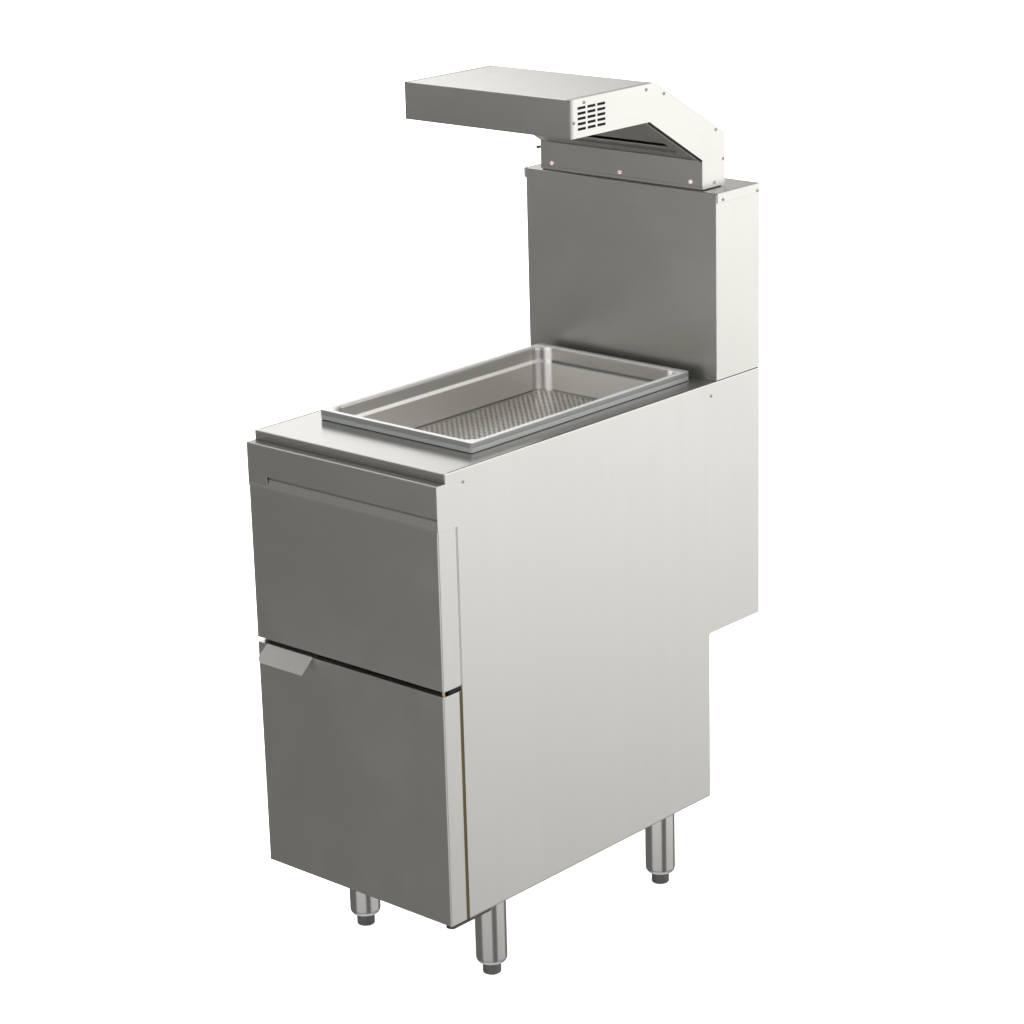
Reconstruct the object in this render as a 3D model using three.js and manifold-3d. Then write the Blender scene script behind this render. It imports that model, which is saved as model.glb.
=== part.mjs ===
// French fry dump station: a heated hood on a riser, over a drop-in pan in a narrow cabinet.
// Millimetres, +Z up. The pieces are laid out with X = 0 on the middle of the cabinet, Y = 0 on the
// door's front face, +Y to the back, and Z = 0 on the floor. At the end the whole assembly is moved
// along Y, so that its origin is on the floor under the middle of its outside box.
import * as THREE from 'three';
import { mergeVertices } from 'three/addons/utils/BufferGeometryUtils.js';
import Module from 'manifold-3d';

const wasm = await Module();
wasm.setup();

// Driving dimensions of the cabinet
const bodyWidth = 406;
const cabinetDepth = 789;
const lowerDepth = 651;
const legHeight = 154.5;
const lowerBackHeight = 294.5;
const cabinetHeight = 727;

// Driving dimensions of the riser behind the pan and of the heated hood on it
const riserDepth = 115.5;
const riserHeight = 312;
const hoodSideIn = 30.5;
const hoodBackIn = 52.5;
const hoodDepth = 383;
const hoodHeight = 191;
const hoodFaceHeight = 60;
const hoodTopDepth = 205;
const hoodBackHeight = 81.5;
const soffitDepth = 190.5;
const postDepth = 59;
const postFrontHeight = 45;
const postShadowGap = 5;

// Driving dimensions of the front: worktop lip, rail, fascia and door, from the top down
const worktopSetback = 19.5;
const worktopLip = 15;
const railHeight = 50.5;
const bandHeight = 19;
const fasciaHeight = 252;
const doorGap = 10;
const doorFloorGap = 1;
const returnDepth = 38.5;
const sideSeam = 3;

// Driving dimensions of the drop-in pan
const panWidth = 325;
const panLength = 530;
const panDepth = 100;
const panFront = 123;
const panLip = 8;
const collarHeight = 8;

// Sheet, bends and the gaps between pieces
const sheet = 1.2;
const seat = 0.3;
const bend = 2.5;
const bendSteps = 4;
const hexagon = 6;
const overrun = 1;

// Heights and faces worked out from the driving dimensions
const base = legHeight;
const bench = base + cabinetHeight;
const riserTop = bench + riserHeight;
const hoodTop = riserTop + hoodHeight;
const hoodEdge = hoodTop - hoodFaceHeight;
const hoodBase = riserTop + postShadowGap;
const riserFront = cabinetDepth - riserDepth;
const hoodBack = cabinetDepth - hoodBackIn;
const hoodFront = hoodBack - hoodDepth;
const postFront = hoodBack - postDepth;
const ledge = bench - worktopLip;
const railBottom = ledge - railHeight;
const bandBottom = railBottom - bandHeight;
const fasciaBottom = bandBottom - fasciaHeight;
const doorTop = fasciaBottom - doorGap;
const doorBottom = base + doorFloorGap;
const lowerBackTop = base + lowerBackHeight;
const sideOuter = bodyWidth / 2;
const sideInner = sideOuter - sheet;
const panelHalf = sideInner - seat;
const sideFront = returnDepth + sideSeam;
const hoodOuter = sideOuter - hoodSideIn;
const hoodInner = hoodOuter - sheet;
const hoodHalf = hoodInner - seat;
const rimTop = bench + seat + collarHeight + seat + panLip;
const panMiddle = panFront + panLength / 2;

// A shape drawn by its corners and pulled from low to high along X, Y or Z, with any holes cut through
// it. Corners are (y, z) along X, (x, z) along Y and (x, y) along Z.
const axisX = new THREE.Vector3(1, 0, 0);
const axisY = new THREE.Vector3(0, 1, 0);
const axisZ = new THREE.Vector3(0, 0, 1);
const pullBases = {
  x: new THREE.Matrix4().makeBasis(axisY, axisZ, axisX),
  y: new THREE.Matrix4().makeBasis(axisZ, axisX, axisY),
  z: new THREE.Matrix4(),
};
function pulled(axis, corners, low, high, holes = []) {
  const point = axis === 'y' ? ([a, b]) => new THREE.Vector2(b, a) : ([a, b]) => new THREE.Vector2(a, b);
  const shape = new THREE.Shape(corners.map(point));
  const body = new THREE.ExtrudeGeometry(shape, { depth: high - low, bevelEnabled: false });
  body.translate(0, 0, low).applyMatrix4(pullBases[axis]);
  if (holes.length === 0) return body;
  return carved(body, { cut: holes.map((hole) => pulled(axis, hole, low - overrun, high + overrun)) });
}

// A plain block between two corners
function block([x0, y0, z0], [x1, y1, z1]) {
  const body = new THREE.BoxGeometry(x1 - x0, y1 - y0, z1 - z0);
  return body.translate((x0 + x1) / 2, (y0 + y1) / 2, (z0 + z1) / 2);
}

// The corners of an arc, of a circle, and of a rectangle with round corners, about a centre
function arc(radius, [a, b], from, to, steps) {
  const angles = Array.from({ length: steps + 1 }, (_, k) => from + ((to - from) * k) / steps);
  return angles.map((t) => [a + radius * Math.cos(t), b + radius * Math.sin(t)]);
}
function circle(radius, centre, steps) {
  return arc(radius, centre, 0, 2 * Math.PI, steps).slice(0, steps);
}
function roundedRectangle(halfA, halfB, radius, [a, b], steps) {
  const signs = [[1, 1], [-1, 1], [-1, -1], [1, -1]];
  return signs.flatMap(([sa, sb], quarter) =>
    Array.from({ length: steps + 1 }, (_, k) => {
      const t = (Math.PI / 2) * (quarter + k / steps);
      const corner = [a + sa * (halfA - radius), b + sb * (halfB - radius)];
      return [corner[0] + radius * Math.cos(t), corner[1] + radius * Math.sin(t)];
    }));
}
function mirrored(corners) {
  return corners.map(([x, y]) => [-x, y]).reverse();
}
function rectangle(a0, a1, b0, b1) {
  return [[a0, b0], [a1, b0], [a1, b1], [a0, b1]];
}

// The outline of a folded sheet. The points follow its outer face, the thickness lies to the left of
// the way they run, and each fold is an arc whose outside radius is given, once or fold by fold.
function folded(points, thickness = sheet, radii = bend) {
  const face = [];
  const back = [];
  const put = (a, b, na, nb) => {
    face.push([a, b]);
    back.unshift([a + na * thickness, b + nb * thickness]);
  };
  const way = (p, q) => {
    const length = Math.hypot(q[0] - p[0], q[1] - p[1]);
    return [(q[0] - p[0]) / length, (q[1] - p[1]) / length];
  };
  const first = way(points[0], points[1]);
  put(points[0][0], points[0][1], -first[1], first[0]);
  for (let i = 1; i < points.length - 1; i += 1) {
    const into = way(points[i - 1], points[i]);
    const out = way(points[i], points[i + 1]);
    const turn = Math.atan2(into[0] * out[1] - into[1] * out[0], into[0] * out[0] + into[1] * out[1]);
    const side = Math.sign(turn);
    const outside = Array.isArray(radii) ? radii[i - 1] : radii;
    const radius = side > 0 ? outside : outside - thickness;
    const reach = radius * Math.tan(Math.abs(turn) / 2);
    const start = [points[i][0] - into[0] * reach, points[i][1] - into[1] * reach];
    const centre = [start[0] - into[1] * radius * side, start[1] + into[0] * radius * side];
    for (let k = 0; k <= bendSteps; k += 1) {
      const t = (turn * k) / bendSteps;
      const na = -into[1] * Math.cos(t) - into[0] * Math.sin(t);
      const nb = into[0] * Math.cos(t) - into[1] * Math.sin(t);
      put(centre[0] - na * radius * side, centre[1] - nb * radius * side, na, nb);
    }
  }
  const end = points[points.length - 1];
  const last = way(points[points.length - 2], end);
  put(end[0], end[1], -last[1], last[0]);
  return [...face, ...back];
}

// One closed skin with shared corners and its faces pointing out
function closed(geometry) {
  const bare = geometry.clone();
  bare.deleteAttribute('normal');
  bare.deleteAttribute('uv');
  const merged = mergeVertices(bare);
  const place = merged.attributes.position;
  const old = merged.index.array;
  const corner = (i) => new THREE.Vector3().fromBufferAttribute(place, i);
  const kept = [];
  let volume = 0;
  for (let i = 0; i < old.length; i += 3) {
    const [a, b, c] = [old[i], old[i + 1], old[i + 2]];
    if (a === b || b === c || c === a) continue;
    kept.push(a, b, c);
    volume += corner(a).dot(corner(b).cross(corner(c)));
  }
  if (volume < 0) kept.reverse();
  merged.setIndex(kept);
  return merged;
}

// Joining and cutting
function solid(geometry) {
  const skin = closed(geometry);
  const mesh = new wasm.Mesh({
    numProp: 3,
    vertProperties: new Float32Array(skin.attributes.position.array),
    triVerts: new Uint32Array(skin.index.array),
  });
  return new wasm.Manifold(mesh);
}
function carved(body, { add = [], cut = [] }) {
  let result = solid(body);
  for (const piece of add) result = result.add(solid(piece));
  for (const piece of cut) result = result.subtract(solid(piece));
  const mesh = result.getMesh();
  const geometry = new THREE.BufferGeometry();
  geometry.setAttribute('position', new THREE.BufferAttribute(new Float32Array(mesh.vertProperties), 3));
  geometry.setIndex(Array.from(mesh.triVerts));
  return geometry;
}

// A turned piece: (radius, height) corners about an upright axis at a place, or about an axis along Y
function turned(profile, [x, y], sides) {
  const body = new THREE.LatheGeometry(profile.map(([r, z]) => new THREE.Vector2(r, z)), sides);
  return closed(body.rotateX(Math.PI / 2).translate(x, y, 0));
}
function turnedAlongY(profile, [x, z], sides) {
  const body = new THREE.LatheGeometry(profile.map(([r, y]) => new THREE.Vector2(r, y)), sides);
  return closed(body.translate(x, 0, z));
}

// A skin through rings that all have the same number of corners, closed at its first and last ring
function skinned(rings) {
  const count = rings[0].length;
  const corners = rings.flat(2);
  const faces = [];
  for (let r = 0; r < rings.length - 1; r += 1) {
    for (let k = 0; k < count; k += 1) {
      const next = (k + 1) % count;
      const [a, b] = [r * count + k, r * count + next];
      const [c, d] = [(r + 1) * count + next, (r + 1) * count + k];
      faces.push(a, b, c, a, c, d);
    }
  }
  const lastRing = (rings.length - 1) * count;
  for (let k = 1; k < count - 1; k += 1) {
    faces.push(0, k + 1, k, lastRing, lastRing + k, lastRing + k + 1);
  }
  const body = new THREE.BufferGeometry();
  body.setAttribute('position', new THREE.BufferAttribute(new Float32Array(corners), 3));
  body.setIndex(faces);
  return closed(body);
}

// Finishes
const finishes = {
  brushed: { color: 0xb9b7b2, roughness: 0.38, metalness: 0.9 },
  bright: { color: 0xd2d1cd, roughness: 0.25, metalness: 0.95 },
  passivated: { color: 0x9c8a52, roughness: 0.45, metalness: 0.8 },
  brass: { color: 0xb08d4c, roughness: 0.3, metalness: 0.9 },
  rubber: { color: 0x2b2b2b, roughness: 0.8, metalness: 0 },
  plastic: { color: 0x4c4c4c, roughness: 0.55, metalness: 0 },
  ceramic: { color: 0xe4ddce, roughness: 0.7, metalness: 0 },
  element: { color: 0x55504c, roughness: 0.5, metalness: 0.7 },
};

const laidOut = new THREE.Group();
function place(name, geometry, finish) {
  const mesh = new THREE.Mesh(geometry, new THREE.MeshStandardMaterial(finishes[finish]));
  mesh.name = name;
  laidOut.add(mesh);
  return mesh;
}

// Cabinet side panels: flat sheets, stepped at the top front behind the worktop's lip, cut back below
// the rail for the returns of the fascia and the door, and notched at the lower back
const noseGap = 1;
const notchRadius = 6;
const noseBottom = bandBottom + noseGap;
const notchCentre = [lowerDepth + notchRadius, lowerBackTop - notchRadius];
const sideOutline = [
  [sideFront, base], [lowerDepth, base], ...arc(notchRadius, notchCentre, Math.PI, Math.PI / 2, bendSteps),
  [cabinetDepth, lowerBackTop], [cabinetDepth, bench], [worktopSetback, bench], [worktopSetback, ledge],
  [0, ledge], [0, noseBottom], [sideFront, noseBottom],
];
place('left_side_panel', pulled('x', sideOutline, -sideOuter, -sideInner), 'brushed');
place('right_side_panel', pulled('x', sideOutline, sideInner, sideOuter), 'brushed');

// Base panel: a folded tray with an upturned edge in front and at the back, and a hole for each leg
const postFace = sideFront + seat;
const trayEdge = 25;
const trayBack = lowerDepth - sheet - seat;
const legSetIn = 60.5;
const frontLegs = 153.7;
const rearLegSetIn = 63.2;
const rearLegs = lowerDepth - rearLegSetIn;
const legPlaces = [
  ['left_front', -sideOuter + legSetIn, frontLegs], ['right_front', sideOuter - legSetIn, frontLegs],
  ['left_rear', -sideOuter + legSetIn, rearLegs], ['right_rear', sideOuter - legSetIn, rearLegs],
];
const spigotRadius = 20;
const legSides = 24;
const tray = pulled('x', folded([
  [postFace, base + trayEdge], [postFace, base], [trayBack, base], [trayBack, base + trayEdge],
]), -panelHalf, panelHalf);
const legHoles = legPlaces.map(([, x, y]) =>
  pulled('z', circle(spigotRadius + seat, [x, y], legSides), base - overrun, base + sheet + overrun));
place('base_panel', carved(tray, { cut: legHoles }), 'brushed');

// Lower back panel: an upright sheet behind the tray, with a flange forward along its top
const backFlange = 15;
place('lower_back_panel', pulled('x', folded([
  [lowerDepth, base], [lowerDepth, lowerBackTop - seat], [lowerDepth - backFlange, lowerBackTop - seat],
]), -panelHalf, panelHalf), 'brushed');

// Upper back panel: the shelf over the notch and the upright above it, folded from one sheet
const shelfLap = 20;
place('upper_back_panel', pulled('x', folded([
  [lowerDepth - shelfLap, lowerBackTop], [cabinetDepth, lowerBackTop], [cabinetDepth, bench - sheet - seat],
]), -panelHalf, panelHalf), 'brushed');

// Front posts: angles against the side panels, set back so that the door's returns swing clear
const postFlange = 25;
const worktopSkirt = 30;
const postBottom = base + trayEdge + seat;
const postTop = bench - worktopSkirt - seat;
const postAngle = folded([
  [panelHalf - postFlange, postFace], [panelHalf, postFace], [panelHalf, postFace + postFlange],
]);
place('left_front_post', pulled('z', mirrored(postAngle), postBottom, postTop), 'brushed');
place('right_front_post', pulled('z', postAngle, postBottom, postTop), 'brushed');

// Door header: a channel between the posts, just behind the fascia's hem
const headerLift = 3;
const headerHeight = 50;
const headerDepth = 28;
const headerFace = returnDepth + seat;
const headerBottom = fasciaBottom + headerLift;
const headerTop = headerBottom + headerHeight;
const headerHalf = panelHalf - postFlange - seat;
place('door_header', pulled('x', folded([
  [headerFace + headerDepth, headerTop], [headerFace, headerTop],
  [headerFace, headerBottom], [headerFace + headerDepth, headerBottom],
]), -headerHalf, headerHalf), 'brushed');

// Front rail: face, shelf under the worktop's lip and a rear edge, with a tab at its left end that
// covers the end of the fascia's sloped band
const railShelf = 40;
const railEdge = 20;
const tabWidth = 40;
const tabDrop = 14;
const rail = pulled('x', folded([
  [railShelf, ledge - railEdge], [railShelf, ledge], [0, ledge], [0, railBottom],
]), -panelHalf, panelHalf);
const tab = block(
  [-panelHalf, 0, railBottom - tabDrop], [tabWidth - panelHalf, sheet, railBottom + overrun]);
place('front_rail', carved(rail, { add: [tab] }), 'brushed');

// Door hinge axis, close to the right front corner, and its pins
const hingeIn = 6;
const hingeBack = 6;
const pinRadius = 2.5;
const pinHead = 4.2;
const pinHeadHeight = 2.5;
const pinReach = 12;
const pinSides = 20;
const hinge = [sideOuter - hingeIn, hingeBack];

// A shallow folded box front: face and side returns in one sheet, closed with a plate at an end
const pinHole = (low, high) => pulled('z', circle(pinRadius + seat, hinge, pinSides), low, high);
const boxFront = (low, high) => pulled('z', folded([
  [-sideOuter, returnDepth], [-sideOuter, 0], [sideOuter, 0], [sideOuter, returnDepth],
]), low, high);
const endPlate = (low) => block(
  [sheet / 2 - sideOuter, sheet / 2, low], [sideOuter - sheet / 2, returnDepth, low + sheet]);

// Front fascia: face and returns, a bottom plate with a hem up its back, and a top band that slopes
// back and stands up behind the rail
const hemHeight = 22;
const bandBack = 5;
const bandShadow = 4;
const bandLap = 10;
const bandUpstand = 24;
const bandTop = railBottom - bandShadow;
const hem = block(
  [sheet / 2 - sideOuter, returnDepth - sheet, fasciaBottom],
  [sideOuter - sheet / 2, returnDepth, fasciaBottom + hemHeight]);
const band = pulled('x', folded([
  [bandBack, bandTop + bandUpstand], [bandBack, bandTop], [0, bandBottom], [0, bandBottom - bandLap],
]), -panelHalf, panelHalf);
place('front_fascia', carved(boxFront(fasciaBottom, bandBottom), {
  add: [endPlate(fasciaBottom), hem, band],
  cut: [pinHole(fasciaBottom - overrun, fasciaBottom + sheet + overrun)],
}), 'brushed');

// Worktop: a sheet with skirts down its sides and a lip in front, open over the pan
const lipLap = 10;
const collarSetback = 1;
const collarWall = 9.5;
const collarRadius = 3;
const cornerSteps = 5;
const panCorner = 25;
const panCentre = [0, panMiddle];
const collarHalf = [panWidth / 2 - collarSetback, panLength / 2 - collarSetback];
const openHalf = collarHalf.map((half) => half - collarWall);
const openCorners = roundedRectangle(...openHalf, panCorner, panCentre, cornerSteps);
const skirtFoot = bench - worktopSkirt;
const worktopSheet = pulled('y', folded([
  [panelHalf, skirtFoot], [panelHalf, bench], [-panelHalf, bench], [-panelHalf, skirtFoot],
]), worktopSetback + bend, cabinetDepth - sheet - seat);
const worktopFront = pulled('x', folded([
  [worktopSetback + lipLap, bench], [worktopSetback, bench], [worktopSetback, ledge + seat],
]), -panelHalf, panelHalf);
const skirtRelief = block(
  [-sideOuter, worktopSetback, skirtFoot - overrun], [sideOuter, railShelf + seat, bench - bend]);
const worktopOpening = pulled('z', openCorners, bench - sheet - overrun, bench + overrun);
const relieved = carved(worktopSheet, { cut: [skirtRelief, worktopOpening] });
place('worktop', carved(relieved, { add: [worktopFront] }), 'bright');

// Pan collar: a square bar frame on the worktop, round the opening
const collarBottom = bench + seat;
place('pan_collar', pulled('z', roundedRectangle(...collarHalf, collarRadius, panCentre, bendSteps),
  collarBottom, collarBottom + collarHeight, [openCorners]), 'bright');

// Food pan: a drawn pan with a turned-down rim, a stacking step and slightly tapered walls. It is one
// skin through rings, from the middle of its floor up, over the rim, and down outside to its underside.
const panWall = 1;
const panFlange = 12;
const rimCorner = 4;
const rimRound = 1.2;
const mouthRound = 2.4;
const stepDepth = 24;
const stepIn = 2;
const stepRise = 2.5;
const wallTaper = 3.4;
const floorRound = 9;
const roundSteps = 3;
const wellInset = (depth) => panFlange + (depth > stepDepth ? stepIn : 0) + (wallTaper * depth) / panDepth;
function panRing(inset, depth, corner) {
  const outline = roundedRectangle(
    panWidth / 2 - inset, panLength / 2 - inset, corner, panCentre, cornerSteps);
  return outline.map(([x, y]) => [x, y, rimTop - depth]);
}
function panRings() {
  const floorInset = wellInset(panDepth);
  const rounds = Array.from({ length: roundSteps + 1 }, (_, k) => (Math.PI / 2) * (k / roundSteps));
  const floorRing = (t, wall, depth) => panRing(
    floorInset - wall + floorRound * (1 - Math.sin(t)), depth - floorRound * (1 - Math.cos(t)), panCorner);
  const inside = rounds.map((t) => floorRing(t, 0, panDepth - panWall));
  const outside = rounds.map((t) => floorRing(t, panWall, panDepth)).reverse();
  const steps = [stepDepth + stepRise, stepDepth];
  return [
    ...inside,
    ...steps.map((depth) => panRing(wellInset(depth), depth, panCorner)),
    ...rounds.map((t) => panRing(
      panFlange - mouthRound * (1 - Math.cos(t)), mouthRound * (1 - Math.sin(t)), panCorner)),
    ...rounds.map((t) => panRing(
      rimRound * (1 - Math.sin(t)), rimRound * (1 - Math.cos(t)), rimCorner)),
    panRing(0, panLip, rimCorner),
    panRing(panWall, panLip, rimCorner),
    panRing(panWall, panWall, rimCorner),
    panRing(panFlange - panWall, panWall, panCorner),
    ...steps.reverse().map((depth) => panRing(wellInset(depth) - panWall, depth + panWall, panCorner)),
    ...outside,
  ];
}
place('food_pan', skinned(panRings()), 'bright');

// Drain plate: a perforated false bottom on two ribs that stand on the pan's floor
const drainDepth = 75;
const drainSheet = 1;
const drainGap = 0.6;
const holeRadius = 5.5;
const holePitch = 38;
const holeMargin = 16;
const ribShare = 2.25;
const ribInset = 60;
const drainTop = rimTop - drainDepth;
const drainInset = wellInset(drainDepth + drainSheet) + drainGap;
const drainHalf = [panWidth / 2 - drainInset, panLength / 2 - drainInset];
const holeColumns = Math.floor((drainHalf[0] - holeMargin) / holePitch);
const rowPitch = (holePitch * Math.sqrt(3)) / 2;
const holeRows = Math.floor((drainHalf[1] - holeMargin) / rowPitch);
const drainHoles = [];
for (let row = -holeRows; row <= holeRows; row += 1) {
  const shift = row % 2 === 0 ? 0 : holePitch / 2;
  for (let column = -holeColumns; column <= holeColumns; column += 1) {
    const x = column * holePitch + shift;
    if (Math.abs(x) > drainHalf[0] - holeMargin) continue;
    drainHoles.push(circle(holeRadius, [x, panMiddle + row * rowPitch], hexagon));
  }
}
const drainSheetBody = pulled('z', roundedRectangle(...drainHalf, panCorner, panCentre, cornerSteps),
  drainTop - drainSheet, drainTop, drainHoles);
const ribFoot = rimTop - panDepth + panWall + seat;
const ribPlace = ribShare * holePitch;
const ribs = [-ribPlace, ribPlace].map((x) => block(
  [x - drainSheet / 2, panFront + ribInset, ribFoot],
  [x + drainSheet / 2, panFront + panLength - ribInset, drainTop - drainSheet / 2]));
place('drain_plate', carved(drainSheetBody, { add: ribs }), 'bright');

// Door skin: face, four returns, and a hole in the top and bottom returns for the hinge pins
place('door_skin', carved(boxFront(doorBottom, doorTop), {
  add: [endPlate(doorBottom), endPlate(doorTop - sheet)],
  cut: [pinHole(doorBottom - overrun, doorBottom + sheet + overrun),
    pinHole(doorTop - sheet - overrun, doorTop + overrun)],
}), 'brushed');

// Door liner: the flat back of the door, a little inside the returns' outer faces
const linerInset = 0.5;
const linerTrim = 1;
const linerFront = returnDepth + seat;
place('door_liner', block(
  [linerInset - sideOuter, linerFront, doorBottom + linerTrim],
  [sideOuter - linerInset, linerFront + sheet, doorTop - linerTrim]), 'passivated');

// Door pull: a strip on the door's top return, folded over the front edge and down at a slant, with
// its lower left corner rounded off
const pullWidth = 103;
const pullInset = 23;
const pullLeg = 24;
const pullOut = 1;
const pullReach = 28;
const pullSlant = (40 * Math.PI) / 180;
const pullCorner = 13;
const pullTop = doorTop + seat + sheet;
const pullTip = pullTop - (pullReach - pullOut) * Math.tan(pullSlant);
const pullLeft = pullInset - sideOuter;
const pullFoot = pullTip - sheet * Math.cos(pullSlant);
const pullSheet = pulled('x', folded([
  [pullLeg, pullTop], [-pullOut, pullTop], [-pullReach, pullTip],
]), pullLeft, pullLeft + pullWidth);
const pullRise = pullCorner * Math.sin(pullSlant);
const pullArc = Array.from({ length: bendSteps + 1 }, (_, k) => {
  const t = (Math.PI / 2) * (k / bendSteps);
  return [pullLeft + pullCorner * (1 - Math.sin(t)), pullFoot + pullRise * (1 - Math.cos(t))];
});
const pullTrim = pulled('y', [
  [pullLeft - overrun, pullFoot - overrun], [pullLeft + pullCorner, pullFoot - overrun],
  ...pullArc, [pullLeft - overrun, pullFoot + pullRise],
], -pullReach - overrun, 0);
place('door_pull', carved(pullSheet, { cut: [pullTrim] }), 'brushed');

// Upper hinge pin, dropped through the fascia's bottom plate into the door, and the lower one, whose
// collar carries the door above its bracket
const headSeat = fasciaBottom + sheet + seat;
place('upper_hinge_pin', turned([
  [0, doorTop - pinReach], [pinRadius, doorTop - pinReach], [pinRadius, headSeat], [pinHead, headSeat],
  [pinHead, headSeat + pinHeadHeight], [0, headSeat + pinHeadHeight],
], hinge, pinSides), 'brass');
const strapSheet = 4;
const strapTop = base - seat;
const strapBottom = strapTop - strapSheet;
place('lower_hinge_pin', turned([
  [0, strapBottom], [pinRadius, strapBottom], [pinRadius, strapTop + seat], [pinHead, strapTop + seat],
  [pinHead, doorBottom - seat], [pinRadius, doorBottom - seat], [pinRadius, doorBottom + pinReach],
  [0, doorBottom + pinReach],
], hinge, pinSides), 'brass');

// Lower hinge bracket: a flat strap under the cabinet's right front corner, round at its front end
const strapWidth = 17;
const strapFront = 0.5;
const strapLength = 95;
const strapRadius = 8;
place('lower_hinge_bracket', pulled('z', roundedRectangle(
  strapWidth / 2, strapLength / 2, strapRadius,
  [sideOuter - strapWidth / 2, strapFront + strapLength / 2], bendSteps),
strapBottom, strapTop, [circle(pinRadius + seat, hinge, pinSides)]), 'bright');

// Door magnet under the header, and the strike plate that it holds on the back of the door
const magnetSetIn = 53;
const magnetWidth = 50;
const magnetHeight = 30;
const magnetDepth = 16;
const strikeSheet = 1;
const strikeOverlap = 2;
const strikeDrop = 3;
const strikeHeight = 16;
const linerBack = linerFront + sheet;
const magnetLeft = magnetSetIn - sideOuter;
const magnetTop = headerBottom - seat;
const magnetFace = linerBack + seat + strikeSheet + seat;
place('door_magnet', block(
  [magnetLeft, magnetFace, magnetTop - magnetHeight],
  [magnetLeft + magnetWidth, magnetFace + magnetDepth, magnetTop]), 'plastic');
const strikeTop = doorTop - strikeDrop;
place('door_strike', block(
  [magnetLeft - strikeOverlap, linerBack + seat, strikeTop - strikeHeight],
  [magnetLeft + magnetWidth + strikeOverlap, linerBack + seat + strikeSheet, strikeTop]), 'bright');

// Riser cover: front and top folded from one sheet, with flanges down over the sides and the back,
// and a hole under the hood's post for the mains lead
const capFlange = 16.5;
const leadX = 100;
const leadSetback = 29.5;
const leadHole = 13;
const openingSides = 24;
const capBack = cabinetDepth + seat + sheet;
const capHalf = sideOuter + seat + sheet;
const capFoot = riserTop - capFlange;
const leadY = postFront + leadSetback;
const coverFront = pulled('x', folded([
  [capBack, capFoot], [capBack, riserTop], [riserFront, riserTop], [riserFront, bench + seat],
]), -panelHalf, panelHalf);
const coverTop = pulled('y', folded([
  [capHalf, capFoot], [capHalf, riserTop], [-capHalf, riserTop], [-capHalf, capFoot],
]), riserFront + bend, capBack - bend);
const leadOpening = (low, high) => pulled('z', circle(leadHole, [leadX, leadY], openingSides), low, high);
place('riser_cover', carved(coverFront, {
  add: [coverTop], cut: [leadOpening(riserTop - sheet - overrun, riserTop + overrun)],
}), 'brushed');

// Riser sides and back
const riserSeam = 1.5;
const riserInnerTop = riserTop - bend - seat;
const riserSide = rectangle(riserFront, cabinetDepth, bench + riserSeam, riserInnerTop);
place('riser_left_side', pulled('x', riserSide, -sideOuter, -sideInner), 'brushed');
place('riser_right_side', pulled('x', riserSide, sideInner, sideOuter), 'brushed');
const glandHeight = 98;
const glandHole = 8.3;
const glandSides = 24;
const glandZ = bench + glandHeight;
const gland = [leadX, glandZ];
place('riser_back', pulled('y', rectangle(-panelHalf, panelHalf, bench - sheet, riserInnerTop),
  cabinetDepth - sheet, cabinetDepth, [circle(glandHole, gland, glandSides)]), 'brushed');

// Cable gland: a hollow screwed bush through the riser's back, with a hexagon and a domed clamping nut
const glandBore = 4;
const glandInside = 8;
const glandHex = 13;
const glandHexDepth = 8;
const glandDome = 10;
const glandDomeDepth = 11;
const glandRound = 3;
const glandFace = cabinetDepth + seat;
const glandEnd = glandFace + glandHexDepth + glandDomeDepth;
const glandInner = glandFace - seat - sheet - glandInside;
place('cable_gland', turnedAlongY([
  [glandBore, glandInner], [glandHole - seat, glandInner], [glandHole - seat, glandFace],
  [glandHex, glandFace], [glandHex, glandFace + glandHexDepth], [glandDome, glandFace + glandHexDepth],
  [glandDome, glandEnd - glandRound], [glandDome - glandRound, glandEnd], [glandBore, glandEnd],
  [glandBore, glandInner],
], gland, glandSides), 'plastic');

// Post gasket: a rubber strip set in under the hood's post, which leaves the dark line in front
const gasketSetIn = 6;
const gasketSideIn = 12.5;
place('post_gasket', carved(block(
  [gasketSideIn - hoodOuter, postFront + gasketSetIn, riserTop + seat],
  [hoodOuter - gasketSideIn, hoodBack - gasketSetIn, hoodBase - seat]), {
  cut: [leadOpening(riserTop, hoodBase)],
}), 'rubber');

// Hood side plates, with three columns of vent slots near the front and, on the left, the switch hole
const ventSetback = 18.5;
const ventWidth = 17;
const ventPitch = 23.3;
const ventColumns = 3;
const ventRows = 5;
const ventDrop = 14.7;
const ventRowPitch = 8;
const ventSlot = 2.9;
const switchSetback = 14.5;
const switchHeight = 32.5;
const bushRadius = 6;
const bushSides = 24;
const hoodPeak = hoodFront + hoodTopDepth;
const hoodBackTop = hoodBase + hoodBackHeight;
const soffitPeak = hoodFront + soffitDepth;
const postTopFront = hoodBase + postFrontHeight;
const switchPlace = [postFront + switchSetback, hoodBase + switchHeight];
const hoodOutline = [
  [hoodFront, hoodEdge], [hoodFront, hoodTop], [hoodPeak, hoodTop], [hoodBack, hoodBackTop],
  [hoodBack, hoodBase], [postFront, hoodBase], [postFront, postTopFront], [soffitPeak, hoodEdge],
];
const vents = [];
for (let column = 0; column < ventColumns; column += 1) {
  for (let row = 0; row < ventRows; row += 1) {
    const y = hoodFront + ventSetback + column * ventPitch;
    const z = hoodTop - ventDrop - row * ventRowPitch;
    vents.push(rectangle(y, y + ventWidth, z - ventSlot / 2, z + ventSlot / 2));
  }
}
const switchHole = circle(bushRadius + seat, switchPlace, bushSides);
const leftHoles = [...vents, switchHole];
place('hood_left_side', pulled('x', hoodOutline, -hoodOuter, -hoodInner, leftHoles), 'brushed');
place('hood_right_side', pulled('x', hoodOutline, hoodInner, hoodOuter, vents), 'brushed');

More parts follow.
